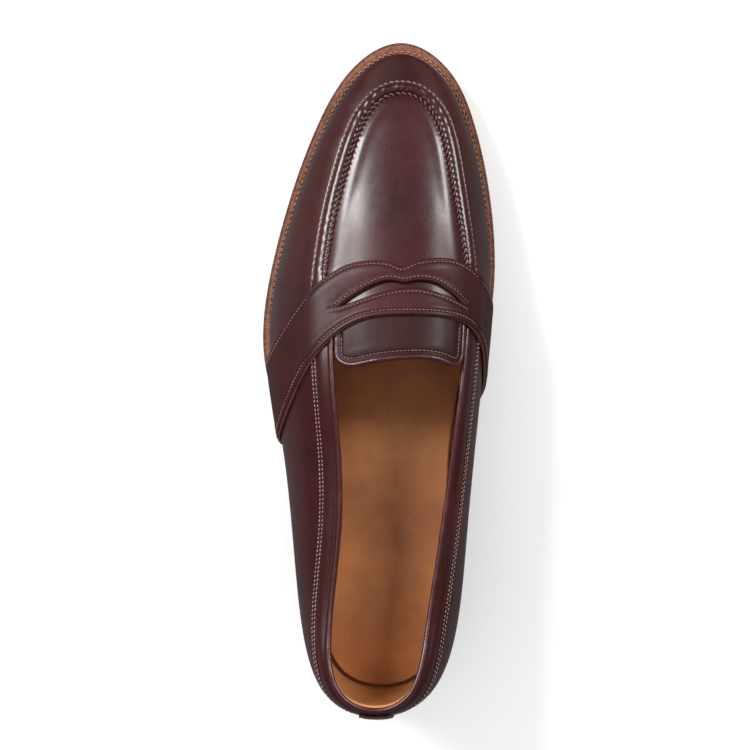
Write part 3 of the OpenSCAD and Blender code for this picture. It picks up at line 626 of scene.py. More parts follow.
def graded(a, b, ca, cb, mid):
    """y from edge a to edge b, close together near both; ca and cb are their cosines."""
    most = 0.46 * np.abs(b - a)[:, None] * EDGE_STEPS / EDGE_STEPS[-1]
    near_a = np.minimum(EDGE_STEPS / ca[:, None], most)
    near_b = np.minimum(EDGE_STEPS / cb[:, None], most)[:, ::-1]
    sign = np.sign(b - a)[:, None]
    sign = np.where(sign == 0, -1, sign)
    ya, yb = a[:, None] + sign * near_a, b[:, None] - sign * near_b
    t = np.linspace(0, 1, mid + 2)[1:-1]
    middle = ya[:, -1:] + (yb[:, :1] - ya[:, -1:]) * t[None]
    return np.concatenate([ya, middle, yb], 1)


def round_edge(d, r):
    k = np.clip(1 - d / r, 0, 1)
    return r * (1 - np.sqrt(1 - k ** 2))


def slot_span(w):
    """1 along the slot and 0 beyond its ends."""
    a, b = SLOT_W
    return smooth(w, a - 0.06, a + 0.03) * smooth(-w, -b - 0.06, -b + 0.03)


def strap_lift(w):
    """The strap rides up where it crosses the roll of the vamp."""
    return 0.55 * bell(w + 0.42, 0.06) + 0.45 * bell(w - 0.61, 0.05)


def build_strap():
    w = np.concatenate([np.linspace(-STRAP_W, SLOT_W[0], 300)[:-1], np.linspace(*SLOT_W, 261),
                        np.linspace(SLOT_W[1], STRAP_W, 260)[1:]])
    front, rear = strap_front(w), strap_rear(w)
    slot_a, slot_b = slot_edges(w)
    cf, cr = cosines(strap_front, w), cosines(strap_rear, w)
    one = np.clip(cosines(lambda q: slot_edges(q)[0], w), 0.5, 1)
    y = np.concatenate([graded(front, slot_a, cf, one, 14), graded(slot_b, rear, one, cr, 14)], 1)
    split = y.shape[1] // 2 - 1
    inside = (w > SLOT_W[0]) & (w < SLOT_W[1])
    mouth = np.clip((slot_a - slot_b) / 1.5, 0, 1)[:, None]
    span = slot_span(w)[:, None]
    d_front = (front[:, None] - y) * cf[:, None]
    d_rear = (y - rear[:, None]) * cr[:, None]
    ahead = np.arange(y.shape[1])[None] <= split
    d_a = np.where(ahead, (y - slot_a[:, None]) * one[:, None], FAR)
    d_b = np.where(ahead, FAR, (slot_b[:, None] - y) * one[:, None])
    e = STRAP_OUT + strap_lift(w)[:, None] - round_edge(d_front, 0.55) - round_edge(d_rear, 0.4)
    e = e - (round_edge(d_a, 0.4) + round_edge(d_b, 0.5)) * mouth
    groove = bell(d_front - ROW_IN, 0.42) + bell(d_rear - REAR_ROW_IN, 0.42)
    groove = groove + (bell(d_a - ROW_IN, 0.42) + bell(d_b - ROW_IN, 0.42)) * span
    e = e - GROOVE_DEPTH * groove + 0.12 * (bell(d_front - 3, 1.2) + bell(d_rear - 3.6, 1.2))
    e = e + LIP_RISE * span * bell(d_a, 3.5) - LIP_SINK * span * bell(d_b, 3.0)
    top = at(w[:, None], y, e)
    skive = 0.35 * np.exp(-d_rear / 0.6) + 0.4 * mouth * np.exp(-d_a / 0.6)
    y_low = y - np.where(d_rear < 3, skive, 0) - np.where(d_a < 3, skive, 0) * (d_rear >= 3)
    low = at(w[:, None], y_low, STRAP_IN + 0.35 * span * bell(d_a, 3.5))
    holes = np.zeros((len(w) - 1, y.shape[1] - 1), bool)
    holes[:, split] = inside[1:] | inside[:-1]
    # Painted shade in the stitch grooves from the crease value, which also makes the leather
    # darker close to the edges and the slot's lips.
    near = bell(np.minimum(d_front, d_rear), 0.5) + mouth * bell(np.minimum(d_a, d_b), 0.5)
    return sheet("saddle_strap_leather", top, low, holes, groove + 0.6 * near)


WING_V = {-1: 1.66, 1: 1.463}


def quarter_u(side, s, t):
    """u of a quarter's point: s is 0 at the back seam and 1 at the joint, t is 0 to 1 up."""
    top = WING_V[side]
    end = side_u(joint_y(side * (2 - t * top)) - JOINT_GAP, side)
    return s * end if side < 0 else LOOP_N + s * (end - LOOP_N)


TOPLINE_ROW = 7.0
ROW_GAP = 1.7


def quarter_grid(side, n, s0, top_in):
    s = np.linspace(s0, 1, n)[:, None]
    d_top = np.array([0, 0.5, 1.2, 2.2, 3.4, 4.6, 5.3, 5.6, 5.8, 6.0, 6.2, 6.5, 6.8, 7.1, 7.4, 7.6,
                      7.8, 8.1, 8.6, 9.5, 11])
    u_top = quarter_u(side, s, 1.0)
    vt = round_at(u_top)[..., 6]
    step = v_step(u_top, vt, 1.0)
    v_top = vt - step * (d_top[None] + top_in)
    v_wall = v_top[:, -1:] * np.linspace(0, 1, 34)[None, :-1]
    v = np.concatenate([v_wall, v_top[:, ::-1]], 1)
    u = quarter_u(side, s, v / vt)
    return u, v, (vt - v) / step


def build_quarter(side, name):
    u, v, d = quarter_grid(side, 320, 0.0015, 0.8)
    past_row = d - TOPLINE_ROW
    rows = bell(past_row, 0.4) + bell(past_row - ROW_GAP, 0.4)
    e = -0.22 * rows + 0.1 * bell(past_row - ROW_GAP / 2, 0.45)
    e = e - 0.35 * bell(d - 1.2, 1.0) + 0.15 * bell(d - 4.2, 1.8)
    # Painted shade: the crease value darkens the two stitch grooves.
    return sheet(name, skin(u, v, e), skin(u, v, -LEATHER_T), crease=rows * 0.7)


def lining_sheet(name, surface, *at_points):
    """A lining between its two depths, on one of the surface functions."""
    return sheet(name, surface(*at_points, LINING_IN), surface(*at_points, LINING_OUT))


def build_quarter_lining():
    inner, outer = [quarter_grid(side, 170, 0.012, 1.0)[:2] for side in (1, -1)]
    u, v = [np.concatenate([a[::-1], b]) for a, b in zip(inner, outer)]
    return lining_sheet("quarter_lining_leather", skin, u, v)


def build_vamp_lining():
    length = np.linspace(0, SEAM_TOTAL, 260)
    _, vs, step = seam_at(length)
    v = (vs - 0.3 * step)[:, None] * np.linspace(0, 1, 30)
    return lining_sheet("vamp_lining_leather", skin, vamp_u(length, v), v)


def build_apron_lining():
    plan = apron_grid(90, 40)
    return lining_sheet("apron_lining_leather", on_top, plan[..., 0], plan[..., 1])


STRIP_U = 0.3
STRIP_HALF = 8.2
STRIP_TOP = 3.0
STRIP_IN = 0.22


def build_back_strip():
    """The strip over the back seam, thinner towards its sides and its top."""
    u = np.linspace(-STRIP_U, STRIP_U, 60)[:, None]
    vt = round_at(u)[..., 6]
    step = v_step(u, vt, 1.0)
    v = (vt - STRIP_TOP * step) * np.linspace(0, 1, 90)
    d = STRIP_HALF * (1 - np.abs(u) / STRIP_U) + 0 * v
    skive = 0.6 * np.exp(-((vt - v) / step - STRIP_TOP) / 3.0)
    e = 1.25 - round_edge(d, 0.6) - 0.2 * bell(d - 1.4, 0.4) - skive
    # Painted shade: the crease value darkens the groove along the strip's edges.
    return sheet("back_strip_leather", skin(u, v, e), skin(u, v, STRIP_IN),
                 crease=bell(d - 1.4, 0.5))


TONGUE_W = (-0.291, 0.451)
TONGUE_END = 157.3
TONGUE_ARCH = 6.2
TONGUE_DROP = -0.3
TONGUE_ROW = 1.9
TONGUE_ROLL = 1.35
TOPLINE_ROLL = 1.2
ROOT_IN = 0.8
SIDE_N = 40


def tongue_w(t):
    return TONGUE_W[0] + (TONGUE_W[1] - TONGUE_W[0]) * (1 - np.cos(np.pi * t)) / 2


def tongue_edge(w):
    mid = (TONGUE_W[0] + TONGUE_W[1]) / 2
    k = np.abs(w - mid) / ((TONGUE_W[1] - TONGUE_W[0]) / 2)
    c = np.maximum(0, (k - 0.72) / 0.28)
    corner = 7 * (1 - np.sqrt(np.maximum(0, 1 - c * c * 0.98)))
    return HEEL_BACK + LENGTH_K * (TONGUE_END + TONGUE_ARCH * (1 - k * k)) + corner


def tongue_rim(n, e):
    """The free edge of the tongue, from the outer root round to the inner root."""
    free = tongue_w(np.linspace(0, 1, n))
    ends = [np.linspace(strap_rear(q) - ROOT_IN, tongue_edge(np.array(q)) + 0.2, SIDE_N)
            for q in TONGUE_W]
    w = np.concatenate([np.full(SIDE_N, TONGUE_W[0]), free, np.full(SIDE_N, TONGUE_W[1])])
    y = np.concatenate([ends[0], tongue_edge(free), ends[1][::-1]])
    return even(*pair(w, y, e), n)[:2]


def inward(path, up, distance):
    """A path moved inward from the tongue's free edge."""
    side = unit(np.cross(unit(np.gradient(path, axis=0)), up))
    middle = path[len(path) // 2] + np.array([0, 12, 0])
    sign = np.sign(np.sum((middle - path) * side, -1))[:, None]
    return path + side * np.median(sign) * distance


def tongue_grid(n, t):
    """w and y over the flap; t is 0 at its root under the strap and 1 at its free edge."""
    w = tongue_w(np.linspace(0, 1, n))
    root, edge = strap_rear(w) - ROOT_IN, tongue_edge(w)
    return w[:, None], root[:, None] + (edge - root)[:, None] * t[None]


def build_tongue():
    w, y = tongue_grid(170, 1 - (1 - np.linspace(0, 1, 70)) ** 1.6)
    flat = at(w, y, TONGUE_DROP)
    near, _ = nearest(flat, tongue_rim(500, TONGUE_DROP)[0][::2])
    e = TONGUE_DROP - 0.28 * bell(near - TONGUE_ROW, 0.45) + 0.15 * bell(near - 4.5, 2)
    low = at(w, y, TONGUE_DROP - LEATHER_T)
    # Painted shade: the crease value darkens the stitch groove.
    return sheet("tongue_leather", at(w, y, e), low, crease=bell(near - TONGUE_ROW, 0.5))


def build_tongue_lining():
    w, y = tongue_grid(60, np.linspace(0, 1, 24))
    out = TONGUE_DROP - LEATHER_T - GAP
    return sheet("tongue_lining_leather", at(w, y, out - 0.9), at(w, y, out))


def build_tongue_binding():
    path, up = tongue_rim(320, TONGUE_DROP - 1.05)
    path = inward(path, up, -1.0)
    radius = TONGUE_ROLL + 0.05 * np.sin(np.linspace(0, 60, len(path)))
    return tube("tongue_binding_roll", path, up, radius)


def topline_pairs(s_end, down, e, n=500, s0=0.0):
    """The topline from the outer wing round the heel to the inner one, moved down and out."""
    paths = []
    for side in (-1, 1):
        s = np.linspace(s0, s_end, n)
        u = quarter_u(side, s, 1.0)
        v = round_at(u)[..., 6]
        v = v - v_step(u, v, 1.0) * down
        paths.append((skin(u, v, e), outward(u, v, e)))
    return paths


def build_topline_binding():
    outer, inner = topline_pairs(0.965, -0.25, -1.3)
    path, up = [np.concatenate([a[::-1], b[1:]]) for a, b in zip(outer, inner)]
    path, up, s = even(path, up, 900)
    radius = TOPLINE_ROLL + 0.03 * np.sin(s / 1.7) + 0.03 * np.sin(s / 4.3 + 1)
    return tube("topline_binding_roll", path, up, radius)


# ---- Thread ----

SADDLE_PITCH = 1.75
QUARTER_PITCH = 1.9
SEAM_FREE = (12.5, 16.5)


def seam_pairs(start, end, down, e):
    length = np.linspace(start, end, 900)
    u, v, step = seam_at(length)
    v = v - step * down
    return skin(u, v, e), outward(u, v, e)


def build_seam_threads():
    first, final = SEAM_FREE[0], SEAM_TOTAL - SEAM_FREE[1]
    inner = seam_pairs(first, final, 0.05, -0.35)
    chunky = stitches("apron_seam_stitches", [inner], SEAM_PITCH, 0.44, 0.86, slant=1.3,
                      rise=0.36, sink=0.6, uneven=2.2)
    outer = seam_pairs(first, final, RIDGE_ROW, -0.3)
    ridge = stitches("vamp_ridge_stitches", [outer], RIDGE_PITCH, 0.42, 0.8, slant=0.5,
                     rise=0.3, sink=0.4, uneven=1.6)
    return chunky, ridge


THREAD_DROP = 0.32
THREAD_R = 0.25


def edge_row(edge, distance, e):
    """The path of a row of stitches at a distance in from an edge of the strap."""
    wide = np.linspace(-1.95, 1.95, 800)
    w = np.linspace(-1.9, 1.9, 700)
    return pair(w, edge(w) - distance / np.interp(w, wide, cosines(edge, wide)), e)


def build_strap_threads():
    e = STRAP_OUT - THREAD_DROP
    front = edge_row(strap_front, ROW_IN, e)
    rear = edge_row(strap_rear, -REAR_ROW_IN, e)
    w = np.linspace(SLOT_W[0] - 0.03, SLOT_W[1] + 0.03, 400)
    slot_a, slot_b = slot_edges(w)
    mouth = slot_span(w)
    upper = pair(w, slot_a + ROW_IN, e + 0.62 * mouth)
    lower = pair(w, slot_b - ROW_IN, e - 0.2 * mouth)
    return [stitches(name, paths, SADDLE_PITCH, THREAD_R, 0.76, slant=0.12)
            for name, paths in (("strap_front_stitches", [front]),
                                ("strap_rear_stitches", [rear]),
                                ("strap_slot_stitches", [upper, lower]))]


def build_topline_threads():
    rows = []
    for down in (TOPLINE_ROW, TOPLINE_ROW + ROW_GAP):
        rows += topline_pairs(0.99, down + 0.8, -0.22, n=700, s0=0.07)
    return stitches("topline_stitches", rows, QUARTER_PITCH, THREAD_R, 0.74, slant=0.1)


def build_tongue_thread():
    path, up = tongue_rim(600, TONGUE_DROP - 0.27)
    path = inward(path, up, TONGUE_ROW)
    keep = slice(12, -12)
    return stitches("tongue_stitches", [(path[keep], up[keep])], 1.7, 0.24, 0.74)


# ---- Sole unit ----

WELT_IN = 4.0
WHEEL_PITCH = 1.05
EDGE_IN = 0.15
SOCK_IN = 4.9
SOCK_TOP = STACK + 2 * GAP + INSOLE_T
LIFTS = [0, 0.3, 0.53, 0.76, 1]
HEEL_TAPER = 2.4
HEEL_IN = 0.6
NAIL_SHOW = 0.06


def rim(u, inset, feather):
    """A plan point in from the sole's edge (feather = 0) or from the feather line (1)."""
    r = round_at(u)
    c = hub(r[..., 1])
    out = r[..., :2] - c
    far = np.linalg.norm(out, axis=-1)
    return c + unit(out) * (far - inset - feather * (r[..., 3] + r[..., 2]))[..., None]


def lifted(plan, part, height):
    z = sole_z(plan[..., 1]) * part + height
    return np.concatenate([plan, z[..., None]], -1)


TIP = 0.004


def plate_rows(y0, y1, n):
    """u of a plate's two edges, row by row. An end given as None runs out to a tip."""
    t = (1 - np.cos(np.linspace(0, np.pi, n))) / 2
    t = t if y0 is not None else TIP + (1 - TIP) * t
    t = t if y1 is not None else t * (1 - TIP)
    edges = []
    for side, heel in ((-1, 0.0), (1, LOOP_N)):
        a = heel if y0 is None else side_u(y0, side)
        b = TOE if y1 is None else side_u(y1, side)
        edges.append(a + (b - a) * t)
    return edges


PLATE_RINGS = 7


def plate(name, inset, feather, top, low, span=(None, None), part=(1, 1), bulge=0.12,
          taper=0.0, bow=0.0, n=260, m=40):
    """A plate inside an outline, with straight or bowed ends at two values of y. bulge rounds
    its edge and taper draws in its lower face. Material 0 is on top, 1 at the edge, 2 below."""
    left_u, right_u = plate_rows(*span, n)
    s = (1 - np.cos(np.linspace(0, np.pi, m))) / 2

    def grid(offset):
        left, right = rim(left_u, inset + offset, feather), rim(right_u, inset + offset, feather)
        flat = left[:, None] + (right - left)[:, None] * s[None, :, None]
        if bow:
            near = smooth(flat[..., 1], span[1] - 14, span[1])
            flat[..., 1] -= bow * 4 * (s * (1 - s))[None] * near
        return flat

    border = np.concatenate([np.arange(m), np.arange(2, n) * m - 1, n * m - 1 - np.arange(m),
                             np.arange(n - 2, 0, -1) * m])
    steps = np.linspace(0, 1, PLATE_RINGS)
    plans = [grid(taper * f - bulge * np.sin(f * np.pi)) for f in steps]
    highs = [lifted(q, part[0], top)[..., 2] * (1 - f) + lifted(q, part[1], low)[..., 2] * f
             for q, f in zip(plans, steps)]
    layers = [np.concatenate([q, h[..., None]], -1).reshape(-1, 3) for q, h in zip(plans, highs)]
    points = [layers[0], layers[-1]] + [q[border] for q in layers[1:-1]]
    i, j = np.divmod(np.arange((n - 1) * (m - 1)), m - 1)
    a = i * m + j
    quads = np.stack([a, a + 1, a + m + 1, a + m], 1)
    inner = [2 * n * m + k * len(border) + np.arange(len(border)) for k in range(PLATE_RINGS - 2)]
    rings = [border] + inner + [border + n * m]
    walls = [np.stack([p, np.roll(p, -1), np.roll(q, -1), q], 1)
             for p, q in zip(rings[:-1], rings[1:])]
    faces = np.concatenate([quads, quads[:, ::-1] + n * m] + walls)
    kinds = np.repeat([0, 2, 1], [len(quads), len(quads), len(faces) - 2 * len(quads)])
    points = np.concatenate(points)
    near, _ = nearest(points[:, :2], rim(np.linspace(0, LOOP_N, 700), inset, feather))
    return make_object(name, points, faces, kinds, near, sharp=45)


WELT_SPAN = (5.3, 15.9)
WELT_PITCH = 2.8
ROW_LEAST = 3.0
ROW_TO_FEATHER = 4.2


def row_offset(u):
    """How far in from the sole's edge the welt's row of stitches runs."""
    r = round_at(u)
    return np.maximum(ROW_LEAST, r[..., 2] + r[..., 3] - ROW_TO_FEATHER)


def welt_holes(u):
    """1 at the holes of the welt's stitches and 0 between them, at u along the welt."""
    fine = np.linspace(*WELT_SPAN, 3000)
    table = lengths(rim(fine, row_offset(fine), 0.0))
    step = table[-1] / round(table[-1] / WELT_PITCH)
    phase = np.interp(u, fine, table) / step
    inside = (u > WELT_SPAN[0]) & (u < WELT_SPAN[1])
    return (0.5 + 0.5 * np.cos(2 * np.pi * phase)) ** 3 * inside


WELT_DEPTH = np.array([0.25, 0.1, 0.03, 0.0, 0.1, 0.25, 0.45, 0.7, 1.0, 1.3, 1.6, 1.9])
WELT_HEIGHT = np.array([-2.85, -2.3, -1.4, -0.5, -0.12, 0, 0, 0, 0, 0, 0, -0.1])
ROW_ACROSS = np.array([-0.95, -0.6, -0.25, 0, 0.25, 0.6, 0.95])
ROW_DEPTH = np.array([0, -0.1, -0.26, -0.34, -0.26, -0.1, 0])


def build_welt(name, u0, u1, wheeled):
    """The welt or the rand: a strip with a wheeled rim and a sunken row for its stitches."""
    fine = np.linspace(u0, u1, 9000)
    table = lengths(rim(fine, 0.0, 0.0))
    s = np.linspace(0, table[-1], int(table[-1] / WHEEL_PITCH * 6))
    u = np.interp(s, table, fine)
    r = round_at(u)
    room = r[:, 2] + r[:, 3] + WELT_IN
    row = row_offset(u)
    squeeze = np.minimum(1, room / (row + 1.6))
    wheel = smooth(-np.cos(2 * np.pi * s / WHEEL_PITCH), -0.6, 0.5) * wheeled
    hole = welt_holes(u) * wheeled
    loops, darks = [], []
    for d, h in zip(WELT_DEPTH, WELT_HEIGHT):
        plan = rim(u, EDGE_IN + d * squeeze, 0.0)
        pit = wheel * smooth(d, 0.02, 0.15) * smooth(-d, -1.7, -1.3)
        loops.append(lifted(plan, 1, STACK + h - 0.5 * pit))
        side = 0.9 * float(h < -0.3)
        # Painted shade in the wheel pits; the welt's side, below its top, is made darker too.
        darks.append(np.maximum(0.7 * pit, side))
    for across, deep in zip(ROW_ACROSS, ROW_DEPTH):
        plan = rim(u, (row + across) * squeeze, 0.0)
        loops.append(lifted(plan, 1, STACK + (deep - 0.5 * hole * bell(across, 0.45)) * wheeled))
        # Painted shade along the sunken stitch row, deepest in its holes.
        darks.append((0.35 + 0.65 * hole) * bell(across, 0.5) * wheeled)
    inner = rim(u, WELT_IN, 1.0)
    loops += [lifted(inner, 1, STACK), lifted(inner, 1, OUTSOLE_T + GAP)]
    darks += [np.zeros(len(u)), np.zeros(len(u))]
    points = np.stack(loops, 1)
    n, m = points.shape[:2]
    i, k = np.divmod(np.arange((n - 1) * m), m)
    a, b = i * m + k, i * m + (k + 1) % m
    faces = np.stack([a, b, b + m, a + m], 1).tolist()
    faces += [np.arange(m)[::-1].tolist(), ((n - 1) * m + np.arange(m)).tolist()]
    dark = np.stack([np.broadcast_to(q, (n,)) for q in darks], 1).ravel()
    return make_object(name, points.reshape(-1, 3), faces, crease=dark, sharp=75)


def build_welt_thread():
    u = np.linspace(*WELT_SPAN, 1500)
    path = lifted(rim(u, row_offset(u), 0.0), 1, STACK - 0.12)
    up = np.zeros_like(path)
    up[:, 2] = 1
    return stitches("welt_stitches", [(path, up)], WELT_PITCH, 0.5, 0.72, slant=0.3,
                    rise=0.34, sink=0.5)


def build_heel():
    split = BREAST - 38
    layers = (("heel_lift_top", "heel_lift_upper", 3, (None, BREAST)),
              ("heel_lift_second", "heel_lift_middle", 2, (None, BREAST - 1)),
              ("heel_lift_first", "heel_lift_lower", 1, (None, BREAST - 2)),
              ("top_piece_leather_part", "top_piece_leather", 0, (split + GAP, BREAST - 3)),
              ("top_piece_rubber_part", "top_piece_rubber", 0, (None, split - GAP)))
    made = []
    for name, node, k, span in layers:
        low = NAIL_SHOW if k == 0 else GAP / 2
        inset = HEEL_IN + EDGE_IN + HEEL_TAPER * (1 - LIFTS[k + 1])
        made.append((node, plate(name, inset, 0.0, -GAP / 2, low, span, (LIFTS[k + 1], LIFTS[k]),
                                 taper=HEEL_TAPER * (LIFTS[k + 1] - LIFTS[k]),
                                 bow=0.0 if node == "top_piece_rubber" else 3.0, n=90, m=30)))
    return made


# ---- Materials ----

def srgb(r, g, b):
    """A linear colour from 0-255 display values."""
    c = np.array([r, g, b]) / 255
    low, high = c / 12.92, ((c + 0.055) / 1.055) ** 2.4
    return (*np.where(c <= 0.04045, low, high).tolist(), 1.0)


class Look:
    """A small helper that builds one node-based material."""

    def __init__(self, name, **values):
        self.mat = bpy.data.materials.new(name)
        self.mat.use_nodes = True
        self.tree = self.mat.node_tree
        self.shader = self.tree.nodes["Principled BSDF"]
        self.place = self.node("ShaderNodeTexCoord").outputs["Object"]
        for key, value in values.items():
            self.to(key.replace("_", " "), value)

    def put(self, socket, value):
        if isinstance(value, bpy.types.NodeSocket):
            self.tree.links.new(value, socket)
        else:
            socket.default_value = value

    def node(self, kind, inputs=None, **props):
        made = self.tree.nodes.new(kind)
        for key, value in props.items():
            setattr(made, key, value)
        for key, value in (inputs or {}).items():
            self.put(made.inputs[key], value)
        return made

    def to(self, key, value):
        self.put(self.shader.inputs[key], value)

    def noise(self, scale, detail=3.0, rough=0.55, stretch=None):
        place = self.place
        if stretch:
            place = self.node("ShaderNodeMapping", {"Vector": place, "Scale": stretch})
            place = place.outputs["Vector"]
        made = self.node("ShaderNodeTexNoise", {"Vector": place, "Scale": scale, "Detail": detail,
                                                "Roughness": rough})
        return made.outputs["Fac"]

    def cells(self, scale):
        made = self.node("ShaderNodeTexVoronoi", {"Vector": self.place, "Scale": scale})
        return made.outputs["Distance"]

    def span(self, value, a, b, lo=0.0, hi=1.0):
        """Maps a to lo and b to hi, held at both ends."""
        made = self.node("ShaderNodeMapRange", {"Value": value, "From Min": a, "From Max": b,
                                                "To Min": lo, "To Max": hi})
        return made.outputs["Result"]

    def sum(self, a, b, operation="ADD"):
        made = self.node("ShaderNodeMath", {0: a, 1: b}, operation=operation)
        return made.outputs[0]

    def cloud(self, scale, detail=3, lo=0.0, hi=1.0, ends=(0.3, 0.7), **more):
        """Noise with more contrast, from lo to hi."""
        return self.span(self.noise(scale, detail, **more), *ends, lo, hi)

    def scaled(self, value, factor):
        return self.sum(value, factor, "MULTIPLY")

    def mix(self, fac, a, b):
        made = self.node("ShaderNodeMix", {"Factor": fac}, data_type="RGBA")
        self.put(made.inputs[6], a)
        self.put(made.inputs[7], b)
        return made.outputs[2]

    def grained(self, scale, strength, distance=0.0001, detail=4, rough=0.6, stretch=None,
                after=None):
        """Gives the surface fine relief."""
        noise = self.noise(scale, detail, rough, stretch)
        self.to("Normal", self.bump(noise, distance, strength, after))

    def value(self, name):
        return self.node("ShaderNodeAttribute", attribute_name=name).outputs["Fac"]

    def bump(self, height, distance, strength, after=None):
        inputs = {"Height": height, "Distance": distance, "Strength": strength}
        if after is not None:
            inputs["Normal"] = after
        return self.node("ShaderNodeBump", inputs).outputs["Normal"]


def cordovan(name, main, dark, red, rough, coat, shine=0.5, grain=1.0):
    """Smooth, waxed leather: deep colour, faint mottle, fine pores, and painted shade in its
    grooves and stitch holes, from the crease value.
    """
    look = Look(name)
    crease = look.value("crease")
    colour = look.mix(look.cloud(22, 4, ends=(0.35, 0.68)), main, red)
    fine = look.cloud(420, ends=(0.3, 0.75))
    colour = look.mix(look.scaled(fine, 0.35), colour, dark)
    # Painted shade: the colour goes towards dark where the crease value is high, in seam and
    # stitch grooves and holes; on the strap also near its edges.
    look.to("Base Color", look.mix(look.span(crease, 0.05, 0.9, 0.0, 0.75), colour, dark))
    patch = look.cloud(60, 4, rough - 0.05, rough + 0.07)
    look.to("Roughness", look.sum(patch, look.span(crease, 0.0, 1.0, 0.0, 0.15)))
    look.to("Specular IOR Level", shine)
    look.to("Coat Weight", coat)
    look.to("Coat Roughness", look.cloud(150, 3, 0.17, 0.27))
    pores = look.bump(look.span(look.cells(1500), 0.0, 0.35), 0.00004, 0.25 * grain)
    wave = look.bump(look.noise(260), 0.0002, 0.28 * grain, pores)
    look.grained(1700, 0.62 * grain, 0.00014, 3, after=wave)
    return look.mat


def raw_edge(name, light, dark):
    """The cut edge and flesh side of leather: fibrous and matt."""
    look = Look(name, Roughness=0.72)
    colour = look.mix(look.cloud(1400, 5, rough=0.7), dark, light)
    look.to("Base Color", look.mix(look.cloud(90, 3, 0.0, 0.5), colour, dark))
    look.grained(1800, 0.6, 0.00015, 5, 0.7)
    return look.mat


def lining(name, light, dark, rough=0.55):
    """Vegetable-tanned lining leather: warm, even, with fine grain and faint stains."""
    look = Look(name)
    colour = look.mix(look.cloud(30, 4), light, dark)
    fine = look.cloud(900, 3, 0.0, 0.35, (0.3, 0.75))
    look.to("Base Color", look.mix(fine, colour, dark))
    look.to("Roughness", look.cloud(200, 3, rough - 0.06, rough + 0.1))
    grain = look.bump(look.span(look.cells(1300), 0.0, 0.4), 0.00008, 0.4)
    look.grained(700, 0.35, after=grain)
    return look.mat


def burnished(name, light, dark, stretch):
    """Waxed edge of stacked leather, with fine layers along it."""
    look = Look(name)
    colour = look.mix(look.cloud(260, 4, rough=0.6, stretch=stretch), dark, light)
    cloud = look.cloud(45, 3, 0.0, 0.5, (0.35, 0.65))
    look.to("Base Color", look.mix(cloud, colour, dark))
    look.to("Roughness", look.cloud(180, 3, 0.32, 0.52))
    look.to("Coat Weight", 0.2)
    look.to("Coat Roughness", 0.25)
    look.grained(700, 0.5, stretch=stretch)
    return look.mat


def welt_look(name, light, dark, deep):
    """Welt leather with painted shade in its wheel pits, stitch holes and row groove, and darker
    down its side.
    """
    look = Look(name)
    colour = look.mix(look.cloud(500, 4, rough=0.6), light, dark)
    look.to("Base Color", look.mix(look.scaled(look.value("crease"), 0.9), colour, deep))
    look.to("Roughness", look.cloud(300, 3, 0.42, 0.62))
    look.grained(900, 0.5)
    return look.mat


def sole_bottom(name, light, dark, waist, channel):
    """The natural sole: smooth, with a closed channel line and a rubbed, dark waist."""
    look = Look(name)

    def off(value, middle):
        return look.sum(look.sum(value, middle, "SUBTRACT"), 0.0, "ABSOLUTE")

    line = look.span(off(look.value("crease"), 5.5), 0.15, 0.4, 1, 0)
    colour = look.mix(look.cloud(35, 5), light, dark)
    fibre = look.cloud(600, 4, 0.0, 0.4, (0.3, 0.75), rough=0.6)
    colour = look.mix(fibre, colour, dark)
    along = look.node("ShaderNodeSeparateXYZ", {"Vector": look.place}).outputs["Y"]
    colour = look.mix(look.span(off(along, 0.075), 0.03, 0.055, 0.85, 0.0), colour, waist)
    look.to("Base Color", look.mix(line, colour, channel))
    look.to("Roughness", look.cloud(150, 3, 0.42, 0.58))
    grain = look.bump(look.noise(800, 4, 0.6), 0.0001, 0.4)
    look.to("Normal", look.bump(look.scaled(line, -1.0), 0.0003, 0.8, grain))
    return look.mat


def thread(name, light, dark):
    look = Look(name, Roughness=0.6)
    strand = look.cloud(2600, 2, ends=(0.35, 0.65))
    colour = look.mix(strand, dark, light)
    look.to("Base Color", look.mix(look.cloud(70, 3, 0.0, 0.45), colour, dark))
    look.to("Normal", look.bump(strand, 0.0001, 0.7))
    return look.mat


def metal(name, colour, tint, rough, stretch):
    look = Look(name, Metallic=1.0)
    scratch = look.cloud(500, 4, rough=0.6, stretch=stretch)
    look.to("Base Color", look.mix(look.scaled(scratch, 0.3), colour, tint))
    look.to("Roughness", look.span(scratch, 0.0, 1.0, rough, rough + 0.18))
    look.to("Normal", look.bump(scratch, 0.00005, 0.4))
    return look.mat


def grains(name, light, dark, scale, rough):
    """Granular stuff: cork, fibre board or rubber, by its colours and the size of its grains."""
    look = Look(name, Roughness=rough)
    colour = look.mix(look.span(look.cells(scale), 0.1, 0.6), dark, light)
    fine = look.cloud(scale * 2, 4, 0.0, 0.5, rough=0.6)
    look.to("Base Color", look.mix(fine, colour, dark))
    look.grained(scale * 1.5, 0.5, 0.0002)
    return look.mat


def paint(recipe, name, *values, **more):
    """A material by its recipe; a list among its values is a colour of 0-255 values."""
    values = [srgb(*v) if isinstance(v, list) else v for v in values]
    return recipe(name, *values, **more)


